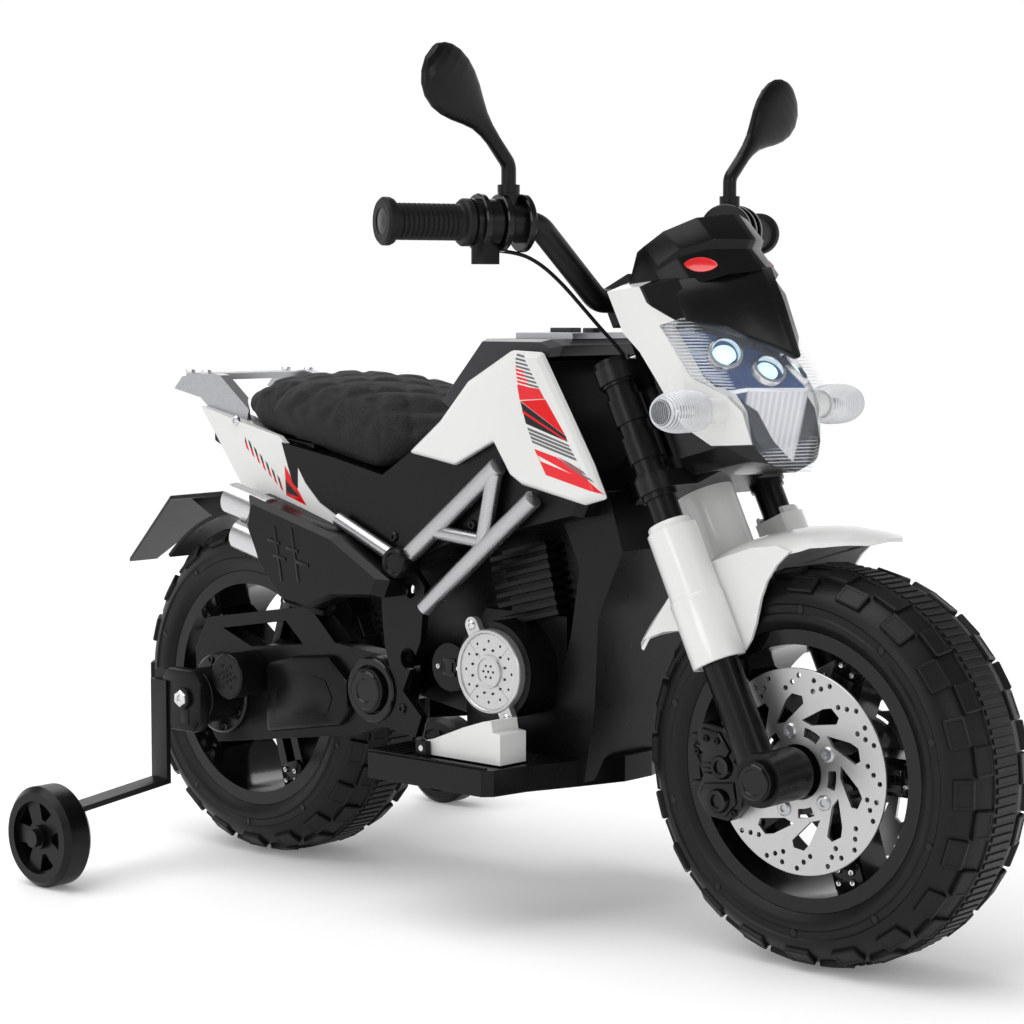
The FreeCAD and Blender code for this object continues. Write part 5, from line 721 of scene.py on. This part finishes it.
def seat():
    """A padded seat, swelled as cloth and sewn down along crossing channels."""
    bm = node_form("seat_cushion")
    low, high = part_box("seat_cushion")
    middle = (Vector(low) + Vector(high)) / 2
    shrunk(bm, middle, (0.985, 0.975, 0.95))
    piece = new_piece("seat_pad", bm, quilted_fabric(), "chassis", 0)
    grain = piece.modifiers.new("grain", "REMESH")
    grain.mode = "VOXEL"
    grain.voxel_size = 0.0045
    bpy.context.view_layer.objects.active = piece
    apply_all(piece)
    rest = [vert.co.copy() for vert in piece.data.vertices]
    cloth = piece.modifiers.new("swell", "CLOTH")
    cloth.settings.use_pressure = True
    cloth.settings.uniform_pressure_force = 4
    cloth.settings.effector_weights.gravity = 0
    scene = bpy.context.scene
    for step in range(1, 21):
        scene.frame_set(step)
    apply_all(piece)
    scene.frame_set(1)
    most = 0.004
    for vert, before in zip(piece.data.vertices, rest):
        move = vert.co - before
        if move.length > most:
            vert.co = before + move * (most / move.length)
    piece.data.update()
    pitch, channel, depth, slant, under = 0.029, 0.003, 0.0034, 0.82, -0.2
    normals = [vert.normal.copy() for vert in piece.data.vertices]
    for vert, normal in zip(piece.data.vertices, normals):
        if normal.z < under:
            continue
        deep = 0
        for slope in (-1, 1):
            across = (vert.co.x * slant + slope * vert.co.y) / math.hypot(slant, 1)
            gap = abs((across / pitch + 0.5) % 1 - 0.5) * pitch
            deep = max(deep, math.exp(-(gap / channel) ** 2))
        vert.co -= normal * deep * depth * min(1, (normal.z - under) / 0.5)
    piece.data.update()
    finer = piece.modifiers.new("finer", "SUBSURF")
    finer.levels = finer.render_levels = 1
    piece.data.shade_smooth()
    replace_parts(piece, "seat_cushion")


def apply_all(piece):
    """Bake a piece's modifiers into its mesh."""
    made = bpy.data.meshes.new_from_object(piece.evaluated_get(bpy.context.evaluated_depsgraph_get()))
    looks = list(piece.data.materials)
    piece.modifiers.clear()
    piece.data = made
    made.materials.clear()
    for look in looks:
        made.materials.append(look)


def lamps():
    """Four projector lamps in bright bezels, in front of a dark bowl behind the lens."""
    outer = [(lean(74, way * 45, 328), lean(0.84, way * 0.52, 0.13) - FRONT) for way in (-1, 1)]
    inner = [(lean(90, way * 18.5, 306), lean(0.93, way * 0.29, 0.25) - FRONT) for way in (-1, 1)]
    bezel = [(8.8, -7.5), (9.4, -2.2), (10.2, 0), (12.2, -0.4), (13, -2), (13, -20), (8.8, -20), (8.8, -7.5)]
    light = [(0, -1.2), (3.5, -1.6), (6.2, -3), (8.2, -5.2), (9, -7.6), (9, -12), (0, -12)]
    for name, profile, look in (("lamp_bezels", bezel, chrome), ("lamp_lights", light, lamp_glow)):
        wider = [(radius * 1.16, along) for radius, along in profile]
        bm = rounds(wider, outer + inner, 40)
        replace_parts(new_piece(name, bm, look, "steering"), "headlight_lamps")

    bm = node_form("headlight_lens")
    middle = lean(61, 0, 320)
    inside = [face for face in bm.faces if face.normal.dot(face.calc_center_median() - middle) < 0.002
              or face.normal.dot(AHEAD) < -0.15]
    bmesh.ops.delete(bm, geom=inside, context="FACES")
    shrunk(bm, middle, (0.86, 0.88, 0.88))
    bmesh.ops.translate(bm, vec=-AHEAD * 0.0105, verts=bm.verts)
    bmesh.ops.solidify(bm, geom=bm.faces[:], thickness=0.0012)
    face_out(bm)
    new_piece("lamp_bowl", bm, lamp_bowl(), "steering")


def signals():
    """Ribbed clear barrels on white stems."""
    barrel = [(0, 0), (11.8, 0.4), (13.4, 1.8)]
    along = 4
    while along < 48.5:
        share = (along - 2) / 50
        radius = 16.8 * (1 - 2.2 * abs(share - 0.4) ** 3.2)
        barrel += [(radius - 0.5, along), (radius, along + 0.5), (radius, along + 1.4),
                   (radius - 0.5, along + 1.9)]
        along += 2.6
    barrel += [(10.2, 50.5), (9.5, 52.5), (8.8, 51.5), (0, 51.2)]
    bulb = [(0, 6), (4, 7), (5.2, 14), (5, 26), (3, 32), (0, 33.5)]
    stem = [(0, 0), (12.8, 0), (11.2, 6), (9.8, 13), (10.2, 22.2), (11.8, 25.2), (0, 25.2)]
    for name, way in (("right", -1), ("left", 1)):
        facing = Vector((0, way, 0))
        at, foot = lean(56, way * 79.5, 286), lean(56, way * 57, 286)
        parts = (("barrel", barrel, at, 40, signal_clear), ("bulb", bulb, at, 20, chrome),
                 ("stem", stem, foot, 32, white))
        for part, profile, place, steps, look in parts:
            bm = rounds(profile, [(place, facing)], steps)
            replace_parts(new_piece(f"signal_{part}_{name}", bm, look, "steering"), "turn_signals")


def wheel_trim():
    """Studded plates on the rims' spokes, and the front discs' buttons."""
    outline = ((76, -10), (82, -14), (97, -14), (100, -9), (100, 9), (97, 14), (82, 14), (76, 10))
    for name, hub, body in (("front", FRONT_HUB, "front_wheel"), ("rear", REAR_HUB, "rear_wheel")):
        plates, studs = bmesh.new(), []
        for index in range(5):
            turn = 2 * math.pi * index / 5
            plate(plates, spun(hub, turn, outline), 17, 2.6)
            studs += side_places(spun(hub, turn, ((82, -6), (86, 6), (92, -8), (94, 5))), 19.6)
        both_sides(plates)
        new_piece(name + "_spoke_plates", plates, gloss_black, body)
        new_piece(name + "_studs", rounds(screw_profile(2.9), studs, 14), chrome, body)
    buttons = side_places(about(FRONT_HUB, 33, 5, 0.55), 49)
    new_piece("disc_buttons", rounds(screw_profile(6.2), buttons, 24), silver, "front_wheel")


def engine_trim():
    """Rings, dots and screws on the round cover, the socket's yoke and screws, and the motor's dots."""
    face = 96
    ring = [(0, 0.6), (11.5, 0.6), (11.8, 1.7), (14.2, 2.1), (14.6, 0), (14.6, -1), (0, -1)]
    edge = [(32.2, -1), (32.2, 1.2), (33, 1.8), (35.2, 1.4), (36, 0), (36, -1), (32.2, -1)]
    at = side_places([CLUTCH], face, False)
    bm = rounds(ring, at, 48)
    joined(bm, rounds(edge, at, 64))
    for turn in range(4):
        spoke = ((14.5, -0.4), (32.4, -0.4), (32.4, 0.4), (14.5, 0.4))
        plate(bm, spun(CLUTCH, math.pi / 4 + turn * math.pi / 2, spoke), face, 0.5, 0.12)
    new_piece("cover_rings", bm, NODE_LOOKS["clutch_cover"])
    dots = about(CLUTCH, 19, 12, math.pi / 12) + about(CLUTCH, 5.5, 6) + [CLUTCH]
    pin = [(0, 1), (0.9, 1), (1.1, 0.8), (1.1, -0.8), (0, -0.8)]
    new_piece("cover_dots", rounds(pin, side_places(dots, face, False), 10), black)
    ears = about(CLUTCH, 43, 2, math.radians(118) + math.pi)
    new_piece("cover_screws", rounds(screw_profile(4.4), side_places(ears, face, False), 20), chrome)
    bm = bmesh.new()
    plate(bm, [(-2.5, 205), (11.5, 205), (11.5, 209), (8, 209), (8, 217.5), (11.5, 217.5), (11.5, 221),
               (-2.5, 221), (-2.5, 217.5), (1, 217.5), (1, 209), (-2.5, 209)], 83.4, 1.8, 0.3)
    new_piece("socket_yoke", bm, gloss_black)
    screws = side_places([(-7.5, 213), (16.5, 213)], 84, False)
    new_piece("socket_screws", rounds(screw_profile(2.7), screws, 14), chrome)
    cap = (-249.5, 182.9)
    dots = about(cap, 5.5, 6, 0.5) + about(cap, 11, 6) + [cap]
    new_piece("motor_dots", rounds(dot_profile(1.7), side_places(dots, 116, False), 10), gloss_black)


def arm_points(shares):
    """Points of the swingarm's side, from shares of its length and height."""
    return [(-337.3 + 281.6 * u, 112 + 140 * v) for u, v in shares]


def pipe_points(shares):
    """Points of the silencer's side, from shares of its length and height."""
    return [(-225.9 + 186.2 * u, 254 + 98 * v) for u, v in shares]


def side_trim():
    """Raised fields, slats, rings and screws on the bike's sides."""
    bm = bmesh.new()
    plate(bm, arm_points(((0.40, 0.13), (0.74, 0.25), (0.79, 0.36), (0.785, 0.56), (0.70, 0.70),
                          (0.52, 0.66), (0.40, 0.60))), 80, 11, 5.5)
    plate(bm, arm_points(((0.46, 0.24), (0.70, 0.33), (0.72, 0.43), (0.69, 0.54), (0.60, 0.57),
                          (0.52, 0.54), (0.46, 0.42))), 90.5, 1.6)
    both_sides(bm)
    new_piece("arm_ribs", bm, black)
    ring = [(21.2, -1), (21.2, 2.2), (22.2, 3), (27.6, 3), (29, 1.8), (29, -1), (21.2, -1)]
    bm = rounds(ring, side_places([ARM_PIVOT], 90), 48)
    cap = [(0, 0.5), (9.8, 0.5), (10.8, 1.6), (16.2, 1.6), (17.6, 0.5), (17.6, -1), (0, -1)]
    joined(bm, rounds(cap, side_places([ARM_PIVOT], 98), 40))
    new_piece("pivot_rings", bm, gloss_black)
    bm = bmesh.new()
    for u in (0.24, 0.36):
        slat = ((0.0, 0.74), (0.012, 0.735), (0.062, 0.24), (0.05, 0.245))
        plate(bm, pipe_points([(u + du, v) for du, v in slat]), 118, 0.8, 0.2)
    for u, v in ((0.20, 0.60), (0.24, 0.46), (0.33, 0.54), (0.40, 0.42)):
        tie = ((0.0, 0.03), (0.085, 0.0), (0.085, -0.03), (0.0, 0.0))
        plate(bm, pipe_points([(u + du, v + dv) for du, dv in tie]), 118, 1.0, 0.3)
    new_piece("silencer_slats", bm, gloss_black)
    places = side_places([(-41.6, 301.8)], 105) + side_places([(-60, 322), (34, 338)], 86)
    places += side_places([(-43, 276), (-47, 172)], 90)
    new_piece("frame_screws", rounds(screw_profile(4.6), places, 18), black_steel)
    corners = ((-358, -62), (-358, 62), (-330, -66), (-330, 66))
    bolts = [((x / 1000, y / 1000, 0.4605), (0, 0, 1)) for x, y in corners]
    bolts += side_places([(-276, 417)], 77.6)
    new_piece("rack_bolts", rounds(screw_profile(4.8), bolts, 18), chrome)
    nuts = side_places([REAR_HUB], 134)
    profile = [(0, 0.8), (3.6, 0.6), (4, 2.2), (7.2, 2.6), (8.2, 1.2), (8.2, -4), (0, -4)]
    new_piece("axle_nuts", rounds(profile, nuts, 6), chrome)
    cap = [(0, 0.6), (9.6, 0.6), (10.2, 1.4), (13, 1.6), (14.2, 0.6), (14.2, -1), (0, -1)]
    new_piece("front_axle_caps", rounds(cap, side_places([FRONT_HUB], 107), 40), gloss_black, "steering")


def inner_panels():
    """Dark inner walls behind the engine, and the caps over the trellis feet."""
    bm = bmesh.new()
    plate(bm, [(-74, 175), (20, 160), (118, 165), (118, 345), (-40, 345), (-74, 300)], 36, 4)
    both_sides(bm)
    boss = [(0, 2.6), (7.8, 2.6), (9, 4.2), (12.2, 3.8), (13.8, 1), (13.8, -16), (0, -16)]
    joined(bm, rounds(boss, side_places([(-40.4, 301.8)], 105), 32))
    new_piece("inner_walls", bm, black)


def board_trim():
    """A raised border and grip bars on each side of the footboard, clear of the pedal."""
    bm = bmesh.new()
    top = 0.1446
    for way, free in ((-1, 10), (1, 100)):
        for x in range(-26, free, 9):
            block(bm, (0.0036, 0.046, 0.0018), (x / 1000, way * 0.119, top), 0.0004)
        for y, front in ((93, free + 4), (145, 104)):
            place = ((front - 32) / 2000, way * y / 1000, top)
            block(bm, ((front + 32) / 1000, 0.003, 0.0026), place, 0.0006)
        for x in (-31.5,) if way < 0 else (-31.5, 103.5):
            block(bm, (0.003, 0.055, 0.0026), (x / 1000, way * 0.119, top), 0.0006)
    new_piece("board_grip", bm, black)


def front_trim():
    """Red badges on the hood's slanted faces, the hood itself and the beak-shaped visor below it."""
    low, high, far = lean(95, -34, 386), lean(87, -34, 413), lean(73, -53, 387)
    out = (far - low).cross(high - low).normalized()
    if out.dot(AHEAD) < 0:
        out = -out
    along = (lean(95, -36, 397) - lean(72, -53, 409)).normalized()
    along = (along - out * along.dot(out)).normalized()
    across = out.cross(along)
    middle = lean(79.6, -43.8, 401.5) + out * 0.0004
    bm = bmesh.new()
    bmesh.ops.create_circle(bm, cap_ends=True, segments=40, radius=1)
    for vert in bm.verts:
        u, v = vert.co.x, vert.co.y
        vert.co = middle + along * u * 0.0135 + across * math.copysign(abs(v) ** 1.4, v) * 0.0064
    raised(bm, bm.faces[:], out * 0.0012)
    face_out(bm)
    face = max(bm.faces, key=lambda item: item.normal.dot(out))
    bmesh.ops.inset_region(bm, faces=[face], thickness=0.0009, depth=-0.0004)
    both_sides(bm)
    new_piece("hood_badges", bm, badge_red, "steering")

    half = [(61, [(15, 411), (37, 434), (46, 435), (52, 414), (47, 411), (52, 391), (22, 400)]),
            (53, [(15, 411), (37, 437), (64, 440), (73, 419), (67, 415), (73, 387), (30, 398)]),
            (34, [(15, 411), (34, 441), (85, 442), (93, 418), (87, 413), (95, 386), (44, 398)]),
            (4, [(15, 411), (34, 441), (99, 439), (106, 412), (99, 407), (107, 384), (44, 398)])]
    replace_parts(new_piece("hood_shell", lofted(half), black, "steering"), "headlight_hood")
    columns = [(66, (52, 400), (60, 385), (63, 360)), (61, (60, 398), (67, 384), (70, 356)),
               (52, (73, 394), (78, 379), (80, 349)), (28, (92, 389), (98, 367), (95, 329)),
               (9, (103, 387), (105, 362), (103.5, 316)), (4, (106, 387), (106.5, 360), (106, 311)),
               (0, (113, 385), (113, 352), (109, 306))]
    half = [(y, [top, fold, foot, (foot[0] - 8, foot[1] + 1), (top[0] - 10, top[1] + 1)])
            for y, top, fold, foot in columns]
    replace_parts(new_piece("beak_visor", lofted(half), black, "steering"), "headlight_visor")


def lofted(half):
    """A form through leaning sections: each a place across and its outline, repeated on the other half."""
    rows = [(-y, points) for y, points in half] + [(y, points) for y, points in reversed(half) if y]
    bm = bmesh.new()
    loops = []
    for y, points in rows:
        verts = [bm.verts.new(lean(b, y, h)) for b, h in points]
        loops.append([bm.edges.new(pair) for pair in zip(verts, verts[1:] + verts[:1])])
    for first, second in zip(loops, loops[1:]):
        bmesh.ops.bridge_loops(bm, edges=first + second)
    bmesh.ops.holes_fill(bm, edges=bm.edges[:], sides=8)
    face_out(bm)
    eased(bm, [edge for edge in bm.edges if edge.calc_face_angle(0) > 0.3], 0.0013)
    return bm


def control_collars():
    """Clamp collars round the bar, on each side of the control housings."""
    ring = [(14, -3), (22.2, -3), (23.2, -2), (23.2, 2), (22.2, 3), (14, 3), (14, -3)]
    places = []
    for way in (-1, 1):
        inward = Vector((0.379, -way * 0.925, 0))
        for along in (-0.010, 0.0085, 0.028):
            places.append((Vector((0.1229, way * 0.160, 0.5897)) + inward * along, inward))
    new_piece("control_collars", rounds(ring, places, 40), gloss_black, "steering")


def leg_sleeves():
    """Stepped lower sleeves and top caps on the white leg guards, outside the tyre's room."""
    sleeve = [(18, 100.8), (21.4, 100.8), (22.2, 101.6), (22.2, 155), (21.2, 157.2), (18, 157.2), (18, 100.8)]
    cap = [(15.4, 212), (18.6, 212), (18.4, 218.5), (17.2, 220.2), (15.4, 220.2), (15.4, 212)]
    place = [(lean(-17.5, -72, 0), RISE)]
    bm = rounds(sleeve, place, 48)
    joined(bm, rounds(cap, place, 48))
    bmesh.ops.bisect_plane(bm, geom=bm.verts[:] + bm.edges[:] + bm.faces[:], plane_co=(0, -0.0615, 0),
                           plane_no=Y, clear_outer=True)
    bmesh.ops.holes_fill(bm, edges=[edge for edge in bm.edges if edge.is_boundary], sides=0)
    both_sides(bm)
    new_piece("guard_sleeves", bm, white, "steering")


def calipers():
    """Two-pot calipers with ribs, pins and bolts beside the front discs."""
    bm = bmesh.new()
    plate(bm, [(262, 192), (284, 190), (300, 172), (306, 150), (303, 128), (290, 114), (268, 116),
               (257, 132), (263, 150), (253, 172)], 51, 11.5, 2.2)
    plate(bm, [(264, 188), (282, 186), (293, 172), (288, 164), (268, 166), (258, 174)], 62, 4, 1.4)
    plate(bm, [(266, 143), (296, 147), (299, 130), (288, 118), (270, 120), (261, 132)], 62, 3, 1.2)
    for low in (150, 154, 158):
        plate(bm, [(265, low), (272, low + 0.6), (272, low + 2.4), (265, low + 1.8)], 62, 2.4, 0.5)
    for x, z in ((248, 176), (250, 138)):
        plate(bm, [(x, z), (x + 14, z + 1), (x + 14, z + 6), (x, z + 5)], 54, 5, 1.6)
    both_sides(bm)
    pot = [(0, 2.4), (5.2, 2.4), (5.8, 4.6), (8.6, 5.2), (9.8, 3.4), (10.4, -2), (0, -2)]
    joined(bm, rounds(pot, side_places([(284, 158)], 62.5) + side_places([(283, 131)], 65), 28))
    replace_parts(new_piece("caliper_bodies", bm, gloss_black, "steering"), "brake_calipers")
    bolts = side_places([(270, 180), (281, 179)], 66)
    bolts += side_places([(259, 168), (298, 164), (296, 122)], 62.5)
    bm = rounds(screw_profile(3), bolts, 14)
    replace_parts(new_piece("caliper_bolts", bm, black_steel, "steering"), "brake_calipers")


def discs():
    """Drilled discs: slanted windows, curved slots round the hub and rows of holes, cut through."""
    def polar(radius, turn):
        return spun(FRONT_HUB, turn, [(radius, 0)])[0]

    profile = [(22, 0), (81.5, 0), (82, 0.5), (82, 2.5), (81.5, 3), (22, 3), (22, 0)]
    bm = turned(profile, FRONT - Y * 0.046, -Y, 120)
    piece = new_piece("disc_plates", bm, NODE_LOOKS["brake_discs"], "front_wheel", 30)
    cutter = bmesh.new()
    for index in range(10):
        turn = 2 * math.pi * index / 10
        window = [polar(40, turn), polar(41.5, turn + 0.24), polar(57, turn - 0.10), polar(62, turn - 0.21),
                  polar(60.5, turn - 0.37), polar(55, turn - 0.40)]
        plate(cutter, window[::-1], 44, 7, 0.5)
    for index in range(5):
        turn = 2 * math.pi * index / 5 + 0.55 + math.pi / 5
        slot = [polar(29, turn + step * 0.11) for step in (-2, -1, 0, 1, 2)]
        slot += [polar(36.5, turn + step * 0.11) for step in (2, 1, 0, -1, -2)]
        plate(cutter, slot, 44, 7, 0.5)
    holes = []
    for index in range(16):
        turn = 2 * math.pi * index / 16
        for row, (radius, lag) in enumerate(((76.5, 0.0), (71, 0.09), (66.5, 0.19), (75, 0.20))):
            if row < 3 or index % 2:
                holes.append(polar(radius, turn + lag))
    drill = [(0, -5), (2.1, -5), (2.1, 5), (0, 5)]
    joined(cutter, rounds(drill, side_places(holes, 47.5, False), 16))
    face_out(cutter)
    tool = placed("disc_cutter", mesh_of("disc_cutter", cutter))
    cut = piece.modifiers.new("cut", "BOOLEAN")
    cut.object = tool
    cut.solver = "EXACT"
    apply_all(piece)
    bpy.data.objects.remove(tool)
    bm = bmesh.new()
    bm.from_mesh(piece.data)
    both_sides(bm)
    bm.to_mesh(piece.data)
    bm.free()
    piece.data.set_sharp_from_angle(angle=math.radians(30))
    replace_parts(piece, "brake_discs")


def hub_trim():
    """Moulded brackets over the rear axle ends, with a bolted flange behind each."""
    bm = bmesh.new()
    plate(bm, [(-326, 132), (-316, 128), (-280, 128), (-272, 138), (-272, 176), (-284, 186), (-318, 186),
               (-326, 176)], 117, 12, 3)
    plate(bm, [(-298, 136), (-287, 136), (-287, 150), (-298, 150)], 128.5, 1.4, 0.6)
    both_sides(bm)
    new_piece("axle_brackets", bm, black)
    flange = [(24.5, -1), (24.5, 5), (26, 6.2), (36, 5.6), (38, 4), (38, -1), (24.5, -1)]
    bm = rounds(flange, side_places([REAR_HUB], 82), 48)
    joined(bm, rounds(screw_profile(3.6), side_places(about(REAR_HUB, 32, 8, 0.3), 87.5), 12))
    new_piece("axle_flanges", bm, gloss_black)


# How far edges are eased, in millimetres, and the nodes that get it.
SOFT = {
    0.6: "silencer_tips",
    0.8: "stabiliser_struts power_button direction_rocker",
    1: "headlight_lens fork_legs front_axle rear_axle",
    1.2: "rear_fender engine_block clutch_cover charge_socket bar_fittings",
    1.4: "front_fender",
    1.5: "console_panel pivot_plates gearbox_housing stabiliser_wheel_right stabiliser_wheel_left "
         "headlight_housing front_rim rear_rim steering_stem pivot_shaft",
    2: "tail_core drive_motor foot_pedal",
    2.5: "body_shells tank_covers rear_rack swingarm",
    3: "tail_panels silencer headlight_cowls",
    4: "tank_top footboard",
}


def dress_nodes():
    """Give every node its finish, and eased edges where a mould leaves them."""
    slots = {item["node"]: item["material_slot"] for item in frame["record"]["subparts"]}
    widths = {name: width / 1000 for width, names in SOFT.items() for name in names.split()}
    for name, piece in nodes.items():
        look = NODE_LOOKS.get(name) or LOOKS.get(slots[name], black)
        if name in widths:
            softened(name, widths[name], look)
        piece.data.materials.clear()
        piece.data.materials.append(look.material)


camera_and_stage()
throttle_lead()
dress_nodes()
tyre("front_tyre", FRONT, "front_wheel")
tyre("rear_tyre", REAR, "rear_wheel")
grip("throttle_grip_ribs", "throttle_grip", -1, "throttle")
grip("left_grip_ribs", "left_grip", 1, "steering")
coils()
lamps()
signals()
wheel_trim()
engine_trim()
side_trim()
inner_panels()
board_trim()
front_trim()
calipers()
control_collars()
discs()
leg_sleeves()
hub_trim()
seat()
